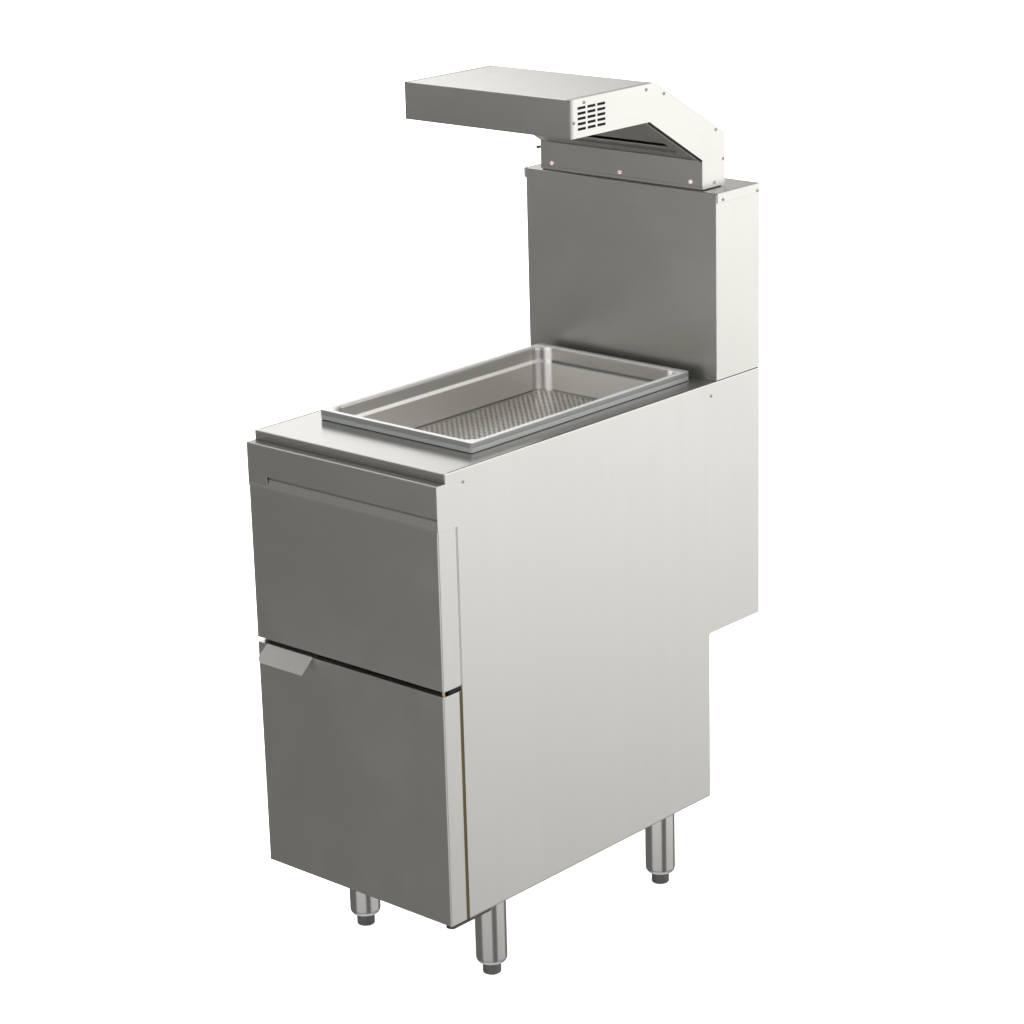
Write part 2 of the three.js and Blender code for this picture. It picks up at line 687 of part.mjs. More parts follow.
// Hood shell: foot, back, slope, top, face and bottom lip, folded from one sheet between the sides
const shellFoot = 20;
const shellLip = 20;
const lipBend = 7;
place('hood_shell', pulled('x', folded([
  [hoodBack - shellFoot, hoodBase], [hoodBack, hoodBase], [hoodBack, hoodBackTop], [hoodPeak, hoodTop],
  [hoodFront, hoodTop], [hoodFront, hoodEdge], [hoodFront + shellLip, hoodEdge],
], sheet, [bend, bend, bend, bend, lipBend]), -hoodHalf, hoodHalf), 'brushed');

// Hood soffit: the flat and sloped underside, with a tab down inside the post, an opening for the
// heater and a long narrow slot across the slope
const soffitTab = 20;
const heaterSetback = 38.5;
const heaterOpening = 136;
const heaterSetIn = 31;
const slotSetIn = 36;
const slotSetback = 82;
const slotWidth = 15;
const heaterHalf = hoodHalf - heaterSetIn;
const slotHalf = hoodHalf - slotSetIn;
const soffitEnd = postFront + sheet + seat;
const soffitSlope = (postTopFront - hoodEdge) / (postFront - soffitPeak);
const soffitEndTop = hoodEdge + soffitSlope * (soffitEnd - soffitPeak);
const heaterFront = hoodFront + heaterSetback;
const heaterBack = heaterFront + heaterOpening;
const slotFront = soffitPeak + slotSetback;
const soffit = pulled('x', folded([
  [hoodFront + shellLip + seat, hoodEdge], [soffitPeak, hoodEdge],
  [soffitEnd, soffitEndTop], [soffitEnd, soffitEndTop - soffitTab],
]), -hoodHalf, hoodHalf);
place('hood_soffit', carved(soffit, {
  cut: [
    block(
      [-heaterHalf, heaterFront, hoodEdge - overrun],
      [heaterHalf, heaterBack, hoodEdge + sheet + overrun]),
    block([-slotHalf, slotFront, soffitEndTop], [slotHalf, slotFront + slotWidth, hoodEdge]),
  ],
}), 'brushed');

// Hood post panel: the post's front, folded in along its foot, with a hole for each screw
const postPanelGap = 1.5;
const postFoot = 22;
const screwHeight = 8;
const screwSetIn = 23;
const screwRadius = 2;
const screwSides = 16;
const screwOut = hoodHalf - screwSetIn;
const screwPlaces = [['left', -screwOut], ['middle', 0], ['right', screwOut]];
const screwCentre = (x) => [x, hoodBase + screwHeight];
const postPanel = pulled('x', folded([
  [postFront, postTopFront - postPanelGap], [postFront, hoodBase], [postFront + postFoot, hoodBase],
]), -hoodHalf, hoodHalf);
place('hood_post_panel', carved(postPanel, {
  cut: screwPlaces.map(([, x]) => pulled('y', circle(screwRadius + seat, screwCentre(x), screwSides),
    postFront - overrun, postFront + sheet + overrun)),
}), 'brushed');

// Post screws: pan heads on the post panel's face
const screwHead = 4.3;
const screwHeadHeight = 2.4;
const screwCrown = 1.4;
const screwLength = 8;
for (const [side, x] of screwPlaces) {
  const face = postFront - seat;
  place(`post_screw_${side}`, turnedAlongY([
    [0, face - screwHeadHeight], [screwHead - screwCrown, face - screwHeadHeight],
    [screwHead, face - screwHeadHeight + screwCrown], [screwHead, face], [screwRadius, face],
    [screwRadius, face + screwLength], [0, face + screwLength],
  ], screwCentre(x), screwSides), 'bright');
}

// Element guard: a slotted plate that fills the heater opening
const guardSlots = 7;
const guardBays = 3;
const guardMargin = 12;
const guardBar = 8;
const guardHalf = heaterHalf - seat;
const guardFront = heaterFront + seat;
const guardBack = heaterBack - seat;
const bayWidth = (2 * (guardHalf - guardMargin) - guardBar * (guardBays - 1)) / guardBays;
const slotDepth = (guardBack - guardFront - 2 * guardMargin - guardBar * (guardSlots - 1)) / guardSlots;
const guardHoles = [];
for (let bay = 0; bay < guardBays; bay += 1) {
  for (let row = 0; row < guardSlots; row += 1) {
    const x = -guardHalf + guardMargin + bay * (bayWidth + guardBar);
    const y = guardFront + guardMargin + row * (slotDepth + guardBar);
    guardHoles.push(rectangle(x, x + bayWidth, y, y + slotDepth));
  }
}
place('element_guard', pulled('z', rectangle(-guardHalf, guardHalf, guardFront, guardBack),
  hoodEdge, hoodEdge + sheet, guardHoles), 'bright');

// Heat reflector: a folded trough that stands on the soffit over the heater opening
const troughFlange = 9;
const troughHeight = 36;
const troughSpread = 12;
const troughSideLap = 5;
const troughOverlap = 3;
const troughHalf = heaterHalf + troughSideLap;
const troughFoot = hoodEdge + sheet + seat;
const troughCrown = troughFoot + troughHeight;
const troughFront = heaterFront - troughOverlap;
const troughBack = heaterBack + troughOverlap;
place('heat_reflector', pulled('x', folded([
  [troughFront - troughFlange, troughFoot], [troughFront, troughFoot],
  [troughFront + troughSpread, troughCrown], [troughBack - troughSpread, troughCrown],
  [troughBack, troughFoot], [troughBack + troughFlange, troughFoot],
]), -troughHalf, troughHalf), 'bright');

// Heating elements: two sheathed rods along the trough, and a ceramic holder at each end
const rodRadius = 4;
const rodSides = 16;
const rodLift = 19;
const rodSpacing = 50;
const rodEnd = 3;
const holderWidth = 13;
const holderHeight = 31;
const holderMargin = 20;
const rodMiddle = (heaterFront + heaterBack) / 2;
const rodHeight = troughFoot + rodLift;
const rodPlaces = [['front', rodMiddle - rodSpacing / 2], ['rear', rodMiddle + rodSpacing / 2]];
const holderIn = troughHalf + seat;
const rodHalf = holderIn + holderWidth - rodEnd;
for (const [end, y] of rodPlaces) {
  const section = circle(rodRadius, [y, rodHeight], rodSides);
  place(`heating_element_${end}`, pulled('x', section, -rodHalf, rodHalf), 'element');
}
const holderOutline = rectangle(
  rodMiddle - rodSpacing / 2 - holderMargin, rodMiddle + rodSpacing / 2 + holderMargin,
  troughFoot, troughFoot + holderHeight);
const holderHoles = rodPlaces.map(([, y]) => circle(rodRadius + seat, [y, rodHeight], rodSides));
for (const [side, low] of [['left', -holderIn - holderWidth], ['right', holderIn]]) {
  const body = pulled('x', holderOutline, low, low + holderWidth, holderHoles);
  place(`${side}_element_holder`, body, 'ceramic');
}

// Terminal block on the inside of the hood's right side plate, with a row of screw wells
const terminalSetback = 31;
const terminalLength = 50;
const terminalWidth = 24;
const terminalHeight = 24;
const terminalDrop = 12.5;
const wellRadius = 3.5;
const wellDepth = 10;
const wellCount = 4;
const terminalFront = soffitPeak + terminalSetback;
const terminalBottom = hoodEdge - terminalDrop;
const terminalTop = terminalBottom + terminalHeight;
const terminalX = hoodHalf - terminalWidth / 2;
const wells = Array.from({ length: wellCount }, (_, k) => {
  const centre = [terminalX, terminalFront + (terminalLength * (k + 1 / 2)) / wellCount];
  return pulled('z', circle(wellRadius, centre, hexagon), terminalTop - wellDepth, terminalTop + overrun);
});
place('terminal_block', carved(block(
  [hoodHalf - terminalWidth, terminalFront, terminalBottom],
  [hoodHalf, terminalFront + terminalLength, terminalTop]), { cut: wells }), 'ceramic');

// Leads inside the housing: the mains lead from the gland up to the terminal block, and the heater
// lead from there to the right-hand holder
const mainsRadius = 3.5;
const heaterLeadRadius = 2;
const leadSides = 8;
const mainsSteps = 32;
const heaterLeadSteps = 12;
const leadGap = 0.6;
const leadStart = 3;
const leadSwing = 40;
const riserShare = 0.65;
const mainsShares = [[0, 0.25], [0.12, 0.5], [0.38, 0.75], [0.75, 0.96]];
function between(start, end, shares) {
  return start.map((value, i) => value + (end[i] - value) * shares[i]);
}
function lead(radius, route, steps) {
  const curve = new THREE.CatmullRomCurve3(route.map((point) => new THREE.Vector3(...point)));
  const corners = circle(radius, [0, 0], leadSides).map(([a, b]) => new THREE.Vector2(a, b));
  const section = new THREE.Shape(corners);
  return closed(new THREE.ExtrudeGeometry(section, { extrudePath: curve, steps, bevelEnabled: false }));
}
const terminalMiddle = (terminalBottom + terminalTop) / 2;
const mainsEnd = [terminalX, terminalFront + terminalLength + leadGap, terminalMiddle];
const postFootPoint = [leadX, leadY, hoodBase];
const mainsRoute = [
  [leadX, glandInner + leadStart, glandZ],
  [leadX, glandInner - mainsRadius, glandZ],
  [leadX, leadY + leadSwing / 2, glandZ + leadSwing / 4],
  [leadX, leadY, glandZ + leadSwing],
  [leadX, leadY, glandZ + (riserTop - glandZ) * riserShare],
  postFootPoint,
  ...mainsShares.map(([over, up]) => between(postFootPoint, mainsEnd, [over, over, up])),
  [terminalX, mainsEnd[1] + 2 * mainsRadius, terminalMiddle],
  mainsEnd,
];
place('mains_lead', lead(mainsRadius, mainsRoute, mainsSteps), 'rubber');
const heaterStart = [terminalX, terminalFront - leadGap, terminalMiddle];
const heaterEnd = [
  holderIn + holderWidth / 2, rodMiddle + rodSpacing / 2 + holderMargin + leadGap, rodHeight];
const heaterRoute = [
  heaterStart,
  [terminalX, heaterStart[1] - 2 * heaterLeadRadius, terminalMiddle],
  [heaterEnd[0], heaterEnd[1] + 2 * heaterLeadRadius, rodHeight],
  heaterEnd,
];
place('heater_lead', lead(heaterLeadRadius, heaterRoute, heaterLeadSteps), 'rubber');

// Toggle switch on the left of the post: body and hollow threaded bush, nut, and a lever on a ball
const switchWidth = 20;
const switchHeightBody = 26;
const switchDepth = 25;
const bushOut = 7.5;
const bushBore = 3.6;
const boreDepth = 6;
const nutRadius = 9;
const nutSheet = 2.5;
const leverBall = 3;
const leverNeck = 1.3;
const leverTip = 2.5;
const leverLength = 21;
const pivotIn = 3;
const leverSides = 16;
const leverDrop = (12 * Math.PI) / 180;
const [switchY, switchZ] = switchPlace;
const bushEnd = -hoodHalf - bushOut;
const switchBody = block(
  [-hoodHalf, switchY - switchWidth / 2, switchZ - switchHeightBody / 2],
  [switchDepth - hoodHalf, switchY + switchWidth / 2, switchZ + switchHeightBody / 2]);
place('switch_body', carved(switchBody, {
  add: [pulled('x', circle(bushRadius, switchPlace, bushSides), bushEnd, -hoodHalf + sheet)],
  cut: [pulled('x', circle(bushBore, switchPlace, bushSides), bushEnd - overrun, -hoodHalf + boreDepth)],
}), 'plastic');
const nutInner = -hoodOuter - seat;
place('switch_nut', pulled('x', circle(nutRadius, switchPlace, hexagon),
  nutInner - nutSheet, nutInner, [switchHole]), 'bright');
const leverTipCentre = leverLength - leverTip;
const leverProfile = [
  ...arc(leverBall, [0, 0], -Math.PI / 2, Math.PI / 4, bendSteps * 2),
  [leverNeck, leverBall],
  ...arc(leverTip, [0, leverTipCentre], -Math.PI / 4, Math.PI / 2, bendSteps * 2),
];
const lever = turned(leverProfile.map(([r, z]) => [Math.max(r, 0), z]), [0, 0], leverSides);
lever.rotateY(-Math.PI / 2 - leverDrop).translate(-hoodHalf - pivotIn, switchY, switchZ);
place('switch_lever', lever, 'bright');

// Legs: a flanged socket in each hole of the base panel, a tube under it with a rounded lower end,
// and a plastic foot whose stem screws into the tube
const legRadius = 25.4;
const legWall = 1.5;
const legEnd = 19;
const legRound = 11;
const legEndRadius = 15.5;
const legPlug = 15;
const flangeRadius = 36;
const flangeSheet = 3;
const spigotLength = 18;
const stemRadius = 6;
const stemLength = 70;
const footRadius = 14.9;
const footRound = 2.5;
const roundLeg = Array.from({ length: bendSteps + 1 }, (_, k) => {
  const t = (Math.PI / 2) * (k / bendSteps);
  return [legEndRadius + (legRadius - legEndRadius) * Math.cos(t), legEnd + legRound * (1 - Math.sin(t))];
});
const flangeFoot = base + sheet + seat;
const legTop = base - seat;
const footTop = legEnd - seat;
for (const [corner, x, y] of legPlaces) {
  place(`leg_socket_${corner}`, turned([
    [0, base - spigotLength], [spigotRadius, base - spigotLength], [spigotRadius, flangeFoot],
    [flangeRadius, flangeFoot], [flangeRadius, flangeFoot + flangeSheet], [0, flangeFoot + flangeSheet],
  ], [x, y], legSides), 'bright');
  place(`leg_${corner}`, turned([
    [legRadius, legTop], ...roundLeg, [stemRadius + seat, legEnd], [stemRadius + seat, legEnd + legPlug],
    [legRadius - legWall, legEnd + legPlug], [legRadius - legWall, legTop], [legRadius, legTop],
  ], [x, y], legSides), 'bright');
  place(`foot_${corner}`, turned([
    [0, 0], [footRadius - footRound, 0], [footRadius, footRound], [footRadius, footTop],
    [stemRadius, footTop], [stemRadius, footTop + stemLength], [0, footTop + stemLength],
  ], [x, y], legSides), 'plastic');
}

// The origin: on the floor under the middle of the outside box, from the pull's tip to the gland's end
laidOut.position.y = (pullReach - glandEnd) / 2;
const fryDumpStation = new THREE.Group();
fryDumpStation.add(laidOut);
export default fryDumpStation;
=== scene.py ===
from math import cos, pi, radians, sin, tan

import bmesh
import bpy
import numpy as np
from mathutils import Matrix, Vector


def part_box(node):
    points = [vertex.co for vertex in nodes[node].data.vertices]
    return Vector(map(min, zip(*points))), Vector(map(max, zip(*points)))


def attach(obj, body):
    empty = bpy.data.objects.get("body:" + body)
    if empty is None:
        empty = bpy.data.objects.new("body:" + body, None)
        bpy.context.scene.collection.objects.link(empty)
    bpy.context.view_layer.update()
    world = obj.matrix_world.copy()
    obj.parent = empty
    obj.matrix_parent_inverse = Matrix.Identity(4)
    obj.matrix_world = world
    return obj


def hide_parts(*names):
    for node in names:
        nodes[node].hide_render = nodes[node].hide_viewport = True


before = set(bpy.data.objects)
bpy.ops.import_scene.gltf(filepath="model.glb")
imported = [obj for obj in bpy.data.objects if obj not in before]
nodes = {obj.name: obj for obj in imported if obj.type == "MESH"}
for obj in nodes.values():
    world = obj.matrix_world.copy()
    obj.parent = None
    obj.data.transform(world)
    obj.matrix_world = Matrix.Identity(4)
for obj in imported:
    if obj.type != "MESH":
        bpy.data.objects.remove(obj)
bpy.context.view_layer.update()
mm = 0.001

# The camera looks down on the right front corner through a long lens, from a little over two metres
# up, and leans a little to one side as it did in the photograph.
camera_place = Vector((2.90065, -3.21435, 2.06105))
camera_azimuth, camera_elevation, camera_lean = radians(42.07), radians(17.56), radians(-1.56)
backward = Vector((
    sin(camera_azimuth) * cos(camera_elevation), -cos(camera_azimuth) * cos(camera_elevation),
    sin(camera_elevation),
))
level_right = Vector((cos(camera_azimuth), sin(camera_azimuth), 0))
level_up = backward.cross(level_right)
camera_right = cos(camera_lean) * level_right + sin(camera_lean) * level_up
camera_up = cos(camera_lean) * level_up - sin(camera_lean) * level_right
camera_axes = Matrix((camera_right, camera_up, backward)).transposed()
camera = bpy.data.objects.new("camera", bpy.data.cameras.new("camera"))
bpy.context.scene.collection.objects.link(camera)
camera.data.lens = 97.76
camera.data.clip_end = 200
camera.matrix_world = Matrix.Translation(camera_place) @ camera_axes.to_4x4()
bpy.context.scene.camera = camera
bpy.context.scene.view_settings.view_transform = "Standard"


# The studio: a pale floor that runs out of sight, under a soft surround. What the steel faces mirror is
# bright low down to the right and behind, dark to the front left, and brightest high on the far left.
def fill(made, inputs):
    """Gives inputs of a node a value or a link each; gives the node's outputs."""
    for key, value in inputs.items():
        if isinstance(value, bpy.types.NodeSocket):
            made.id_data.links.new(value, made.inputs[key])
        else:
            made.inputs[key].default_value = value
    return made.outputs


def node(tree, kind, inputs, **options):
    """A new shader node with its options set and its inputs filled; gives its outputs."""
    made = tree.nodes.new("ShaderNode" + kind)
    for name, value in options.items():
        setattr(made, name, value)
    return fill(made, inputs)


def calc(tree, operation, *values, **options):
    """Arithmetic on up to three values."""
    return node(tree, "Math", dict(enumerate(values)), operation=operation, **options)[0]


def reached(tree, value, start, end):
    """How far a value has come from a start to an end, held between 0 and 1."""
    return node(tree, "MapRange", {"Value": value, "From Min": start, "From Max": end})[0]


def mixed(tree, share, first, second, blend="MIX"):
    """Two colours blended by a share."""
    return node(tree, "Mix", {"Factor": share, 6: first, 7: second}, data_type="RGBA", blend_type=blend)[2]


def grey_ramp(tree, share, stops, tint=(1.0, 0.992, 0.97)):
    """A colour ramp of greys: each stop is (place from 0 to 1, grey), and half of the grey is stored, as
    a ramp holds no more than 1. Gives the colour at full strength."""
    ramp = tree.nodes.new("ShaderNodeValToRGB")
    elements = ramp.color_ramp.elements
    while len(elements) < len(stops):
        elements.new(0.5)
    for element, (place, grey) in zip(elements, stops):
        element.position = place
        element.color = tuple(grey / 2 * part for part in tint) + (1,)
    half = fill(ramp, {"Fac": share})["Color"]
    return node(tree, "VectorMath", {0: half, "Scale": 2.0}, operation="SCALE")[0]


def studio_surround():
    """A world seen by mirrored rays as two rings of soft panels, one below the horizon and one above, each
    a grey that changes with the compass angle from +X. Below, a panel's grey also changes with height."""
    panels_below = [(-180, 0.0), (-136, 0.0), (-121, 0.02), (-115, 0.4), (-109, 0.95), (-43, 0.95),
                    (-34, 0.0), (-7, 0.0), (3, 1.0), (68, 1.0), (77, 0.05), (180, 0.0)]
    panels_above = [(-180, 0.9), (-165, 0.4), (-135, 0.2), (-100, 0.5), (-45, 0.8), (5, 1.4), (50, 1.4),
                    (75, 0.8), (115, 0.3), (127, 0.5), (135, 1.6), (150, 1.7), (170, 1.2), (180, 0.9)]
    heights = [(-0.86, 0.6), (-0.62, 0.24), (-0.42, 0.6), (-0.25, 1.42), (-0.15, 2.0), (-0.05, 2.0),
               (0.2, 1.8)]
    world = bpy.data.worlds.new("studio")
    world.use_nodes = True
    world.cycles.sampling_method = "NONE"
    tree = world.node_tree
    tree.nodes.clear()
    ray = node(tree, "LightPath", {})
    way = node(tree, "SeparateXYZ", {0: node(tree, "TexCoord", {})["Generated"]})
    turn = calc(tree, "MULTIPLY_ADD", calc(tree, "ARCTAN2", way["Y"], way["X"]), 0.5 / pi, 0.5)
    level = calc(tree, "MULTIPLY_ADD", way["Z"], 0.5, 0.5)
    def compass(panels):
        return [((degrees + 180) / 360, grey) for degrees, grey in panels]
    ring = grey_ramp(tree, turn, compass(panels_below), (1, 1, 1))
    lit_share = calc(tree, "MAXIMUM", ring, reached(tree, way["Z"], -0.62, -0.86))
    lit = grey_ramp(tree, level, [((height + 1) / 2, grey) for height, grey in heights])
    below = mixed(tree, lit_share, (0.150, 0.148, 0.143, 1), lit)
    above = grey_ramp(tree, turn, compass(panels_above))
    mirrored = mixed(tree, reached(tree, way["Z"], -0.03, 0.09), below, above)
    for_diffuse = mixed(tree, ray["Is Diffuse Ray"], mirrored, (1.8, 1.8, 1.8, 1))
    for_camera = mixed(tree, ray["Is Camera Ray"], for_diffuse, (1, 1, 1, 1))
    light = node(tree, "Background", {"Color": for_camera, "Strength": 1.0})[0]
    node(tree, "OutputWorld", {"Surface": light})
    bpy.context.scene.world = world


def new_material(name):
    """A new material, with its tree and its shader."""
    made = bpy.data.materials.new(name)
    made.use_nodes = True
    return made, made.node_tree, made.node_tree.nodes["Principled BSDF"]


def pale_floor():
    """A square at height zero, 80 m across, in a matt white that mirrored rays pass through."""
    reach = 40
    mesh = bpy.data.meshes.new("floor")
    corners = [(-reach, -reach, 0), (reach, -reach, 0), (reach, reach, 0), (-reach, reach, 0)]
    mesh.from_pydata(corners, [], [(0, 1, 2, 3)])
    floor = bpy.data.objects.new("floor", mesh)
    bpy.context.scene.collection.objects.link(floor)
    paint, _, shader = new_material("floor paint")
    fill(shader, {"Base Color": (0.93, 0.93, 0.93, 1), "Roughness": 1.0, "Specular IOR Level": 0.0,
                  "Emission Color": (1, 1, 1, 1), "Emission Strength": 0.7})
    mesh.materials.append(paint)
    floor.visible_glossy = False


studio_surround()
pale_floor()


# Cabinet: side, base and back panels, two posts, a door header, a rail and a fascia, all folded from
# 1.2 mm stainless sheet with a fine satin brushing. The edges are left sharp from the shear, so they
# catch the light, and the faces carry faint wipe marks. Strips of painted shade and painted highlight
# run along edges of the side panels, the rail and the fascia.
def shader_group(name, inputs, *outputs):
    """A new node group. An input is a vector if its value is a tuple, an output is one if it is called
    Normal, and the rest are numbers. Gives the tree, the inputs' sockets and the output node."""
    tree = bpy.data.node_groups.new(name, "ShaderNodeTree")
    for label, value in inputs.items():
        kind = "NodeSocketVector" if isinstance(value, tuple) else "NodeSocketFloat"
        tree.interface.new_socket(label, in_out="INPUT", socket_type=kind).default_value = value
    for label in outputs:
        kind = "NodeSocketVector" if label == "Normal" else "NodeSocketFloat"
        tree.interface.new_socket(label, in_out="OUTPUT", socket_type=kind)
    return tree, tree.nodes.new("NodeGroupInput").outputs, tree.nodes.new("NodeGroupOutput")


def object_place(tree):
    """The place in the piece."""
    return node(tree, "TexCoord", {})["Object"]


def split(tree, vector):
    """The X, Y and Z of a vector."""
    return node(tree, "SeparateXYZ", {0: vector})


def noise(tree, spot, scale, detail, roughness=0.5, distortion=0.0):
    """A cloudy noise between 0 and 1."""
    return node(tree, "TexNoise", {"Vector": spot, "Scale": scale, "Detail": detail, "Roughness": roughness,
                                   "Distortion": distortion})[0]


def brushing_group():
    """Fine scratches and broad streaks: noise on the place in the piece, stretched along the brushing."""
    tree, given, end = shader_group("brushing", {"Lines per metre": (1800, 1800, 14)}, "Scratches",
                                    "Streaks")
    fine = node(tree, "VectorMath", {0: object_place(tree), 1: given[0]}, operation="MULTIPLY")[0]
    broad = node(tree, "VectorMath", {0: fine, "Scale": 0.035}, operation="SCALE")[0]
    fill(end, {"Scratches": noise(tree, fine, 1.0, 3.0, 0.65),
               "Streaks": noise(tree, broad, 1.0, 4.0, 0.6)})
    return tree


def edge_group():
    """Softened edges: the normal averaged within a radius, and how far it leans from the face's own."""
    tree, given, end = shader_group("softened edges", {"Radius": 0.0006}, "Normal", "Edge")
    soft = node(tree, "Bevel", {"Radius": given[0]}, samples=6)[0]
    flat = node(tree, "NewGeometry", {})["Normal"]
    agree = node(tree, "VectorMath", {0: soft, 1: flat}, operation="DOT_PRODUCT")["Value"]
    fill(end, {"Normal": soft, "Edge": reached(tree, agree, 0.995, 0.8)})
    return tree


def marks_group():
    """Wipe marks and finger marks: two noises of different size, the smaller one seen inside the larger."""
    tree, given, end = shader_group("wipe marks", {"Size": 0.12}, "Marks")
    spot = object_place(tree)
    count = calc(tree, "DIVIDE", 1.0, given[0])
    patches = noise(tree, spot, count, 3.0, distortion=0.8)
    smears = noise(tree, spot, calc(tree, "MULTIPLY", count, 5.0), 5.0, distortion=1.6)
    fill(end, {"Marks": calc(tree, "MULTIPLY", reached(tree, patches, 0.45, 0.7), smears)})
    return tree


def dust_group():
    """Settled dust and crumbs of grease: where a face looks up, thinned by a fine noise."""
    tree, given, end = shader_group("settled dust", {"Amount": 0.3}, "Dust")
    facing = split(tree, node(tree, "NewGeometry", {})["Normal"])["Z"]
    specks = noise(tree, object_place(tree), 160.0, 6.0, 0.7)
    dust = calc(tree, "MULTIPLY", reached(tree, facing, 0.6, 1.0), reached(tree, specks, 0.52, 0.75))
    fill(end, {"Dust": calc(tree, "MULTIPLY", dust, given[0])})
    return tree


def band_group():
    """A band along an edge: 1 where the place, X taken without its sign, lies further along an axis than
    From, 0 before it, and even steps between over Width."""
    tree, given, end = shader_group("band along an edge", {"Axis": (0, 0, 1), "From": 0.0, "Width": 0.001},
                                    "Band")
    spot = split(tree, object_place(tree))
    aside = calc(tree, "ABSOLUTE", spot["X"])
    place = node(tree, "CombineXYZ", {"X": aside, "Y": spot["Y"], "Z": spot["Z"]})[0]
    along = node(tree, "VectorMath", {0: place, 1: given[0]}, operation="DOT_PRODUCT")["Value"]
    past = calc(tree, "SUBTRACT", along, given[1])
    fill(end, {"Band": calc(tree, "DIVIDE", past, given[2], use_clamp=True)})
    return tree


brushing, soft_edges, wipe_marks = brushing_group(), edge_group(), marks_group()
settled_dust, edge_band = dust_group(), band_group()


def use(tree, group, *values):
    """A node group placed in a tree with values of its own; gives its outputs."""
    return node(tree, "Group", dict(enumerate(values)), node_tree=group)


def toned(colour, factor, lift=0.0):
    """A colour made darker or lighter, with its alpha."""
    return tuple(min(1.0, part * factor + lift) for part in colour) + (1,)


def scaled(tree, value, factor, start=0.0):
    """A value times a factor plus a start."""
    return calc(tree, "MULTIPLY_ADD", value, factor, start)


def shaded(tree, share, colour, factor):
    """A colour multiplied by a factor, as far as a share says."""
    return mixed(tree, share, colour, (factor, factor, factor, 1), "MULTIPLY")


def steel(name, lines, colour=(0.62, 0.612, 0.59), gloss=0.34, edge=0.0005, marks=0.05, scratch=0.05,
          dust=0.12, depth=0.25, metal=1.0, bands=()):
    """Stainless steel: brushed scratches give the roughness and a slight relief, edges are smoother and a
    little paler, as wear and as a painted highlight, wipe marks and dust dull it a little, and broad
    streaks shift its grey. Each band, given by its axis, where it starts, how soft its start is and a
    factor, paints
    a strip along an edge: a factor below 1 paints shade there, one above 1 a highlight."""
    made, tree, shader = new_material(name)
    brushed, edges = use(tree, brushing, lines), use(tree, soft_edges, edge)
    wiped, dusty = use(tree, wipe_marks, 0.14), use(tree, settled_dust, dust)
    grey = mixed(tree, brushed["Streaks"], toned(colour, 0.975), toned(colour, 1.02))
    # Edges a little paler: wear, and a painted highlight.
    grey = mixed(tree, scaled(tree, edges["Edge"], 0.5), grey, toned(colour, 1.15))
    grey = mixed(tree, dusty["Dust"], grey, (0.55, 0.53, 0.49, 1))
    # Bands of painted shade (factor below 1) and painted highlight (factor above 1) along edges.
    for axis, start, width, factor in bands:
        grey = shaded(tree, use(tree, edge_band, axis, start, width)["Band"], grey, factor)
    rough = scaled(tree, brushed["Scratches"], 2 * scratch, gloss - scratch)
    rough = scaled(tree, wiped["Marks"], marks, rough)
    rough = scaled(tree, dusty["Dust"], 0.5, rough)
    rough = scaled(tree, edges["Edge"], -0.08, rough)
    relief = node(tree, "Bump", {"Height": brushed["Scratches"], "Normal": edges["Normal"],
                                 "Strength": depth, "Distance": 0.00003})[0]
    fill(shader, {"Metallic": metal, "Base Color": grey, "Roughness": rough, "Normal": relief})
    return made


def dress(material, *names):
    """Gives CAD nodes one material."""
    for name in names:
        nodes[name].data.materials.clear()
        nodes[name].data.materials.append(material)


brushed_across, brushed_upright, brushed_lengthwise = (14, 1800, 1800), (1800, 1800, 14), (1800, 14, 1800)
up, down, forward = (0, 0, 1), (0, 0, -1), (0, -1, 0)
upright_sheet = steel("satin sheet brushed upright", brushed_upright)
level_sheet = steel("satin sheet brushed across", brushed_across)
inner_sheet = steel("mill sheet", (900, 900, 60), (0.58, 0.575, 0.56), 0.42, dust=0.3)
panel_low, panel_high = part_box("right_side_panel")
# Painted shade along the side panels' foot and a painted highlight along their top edge.
panel_sheet = steel("satin panel brushed upright", brushed_upright, bands=[
    (down, -panel_low.z - 2 * mm, 0.5 * mm, 0.6), (up, panel_high.z - 2 * mm, 0.5 * mm, 1.2)])
rail_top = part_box("front_rail")[1].z
# Painted shade: the rail's top face is made darker.
rail_sheet = steel("satin rail brushed across", brushed_across, bands=[
    (up, rail_top - 0.2 * mm, 0.1 * mm, 0.5)])
band_top = rail_top - 54.5 * mm
band_foot = band_top - 15 * mm
# Painted light on the fascia's sloped band: a highlight just below its foot, a line of shade at the foot,
# and shade along its top under the rail.
fascia_sheet = steel("satin fascia brushed across", brushed_across, bands=[
    (up, band_foot - 3 * mm, 1 * mm, 1.09), (up, band_foot - 0.6 * mm, 0.5 * mm, 0.8),
    (up, band_foot + 0.8 * mm, 0.6 * mm, 1.15), (up, band_top - 1.6 * mm, 0.8 * mm, 0.6)])
dress(panel_sheet, "left_side_panel", "right_side_panel")
dress(upright_sheet, "door_skin", "riser_left_side", "riser_right_side")
dress(rail_sheet, "front_rail")
dress(fascia_sheet, "front_fascia")
dress(level_sheet, "upper_back_panel", "lower_back_panel", "riser_back", "hood_post_panel")
dress(inner_sheet, "base_panel", "left_front_post", "right_front_post", "door_header")
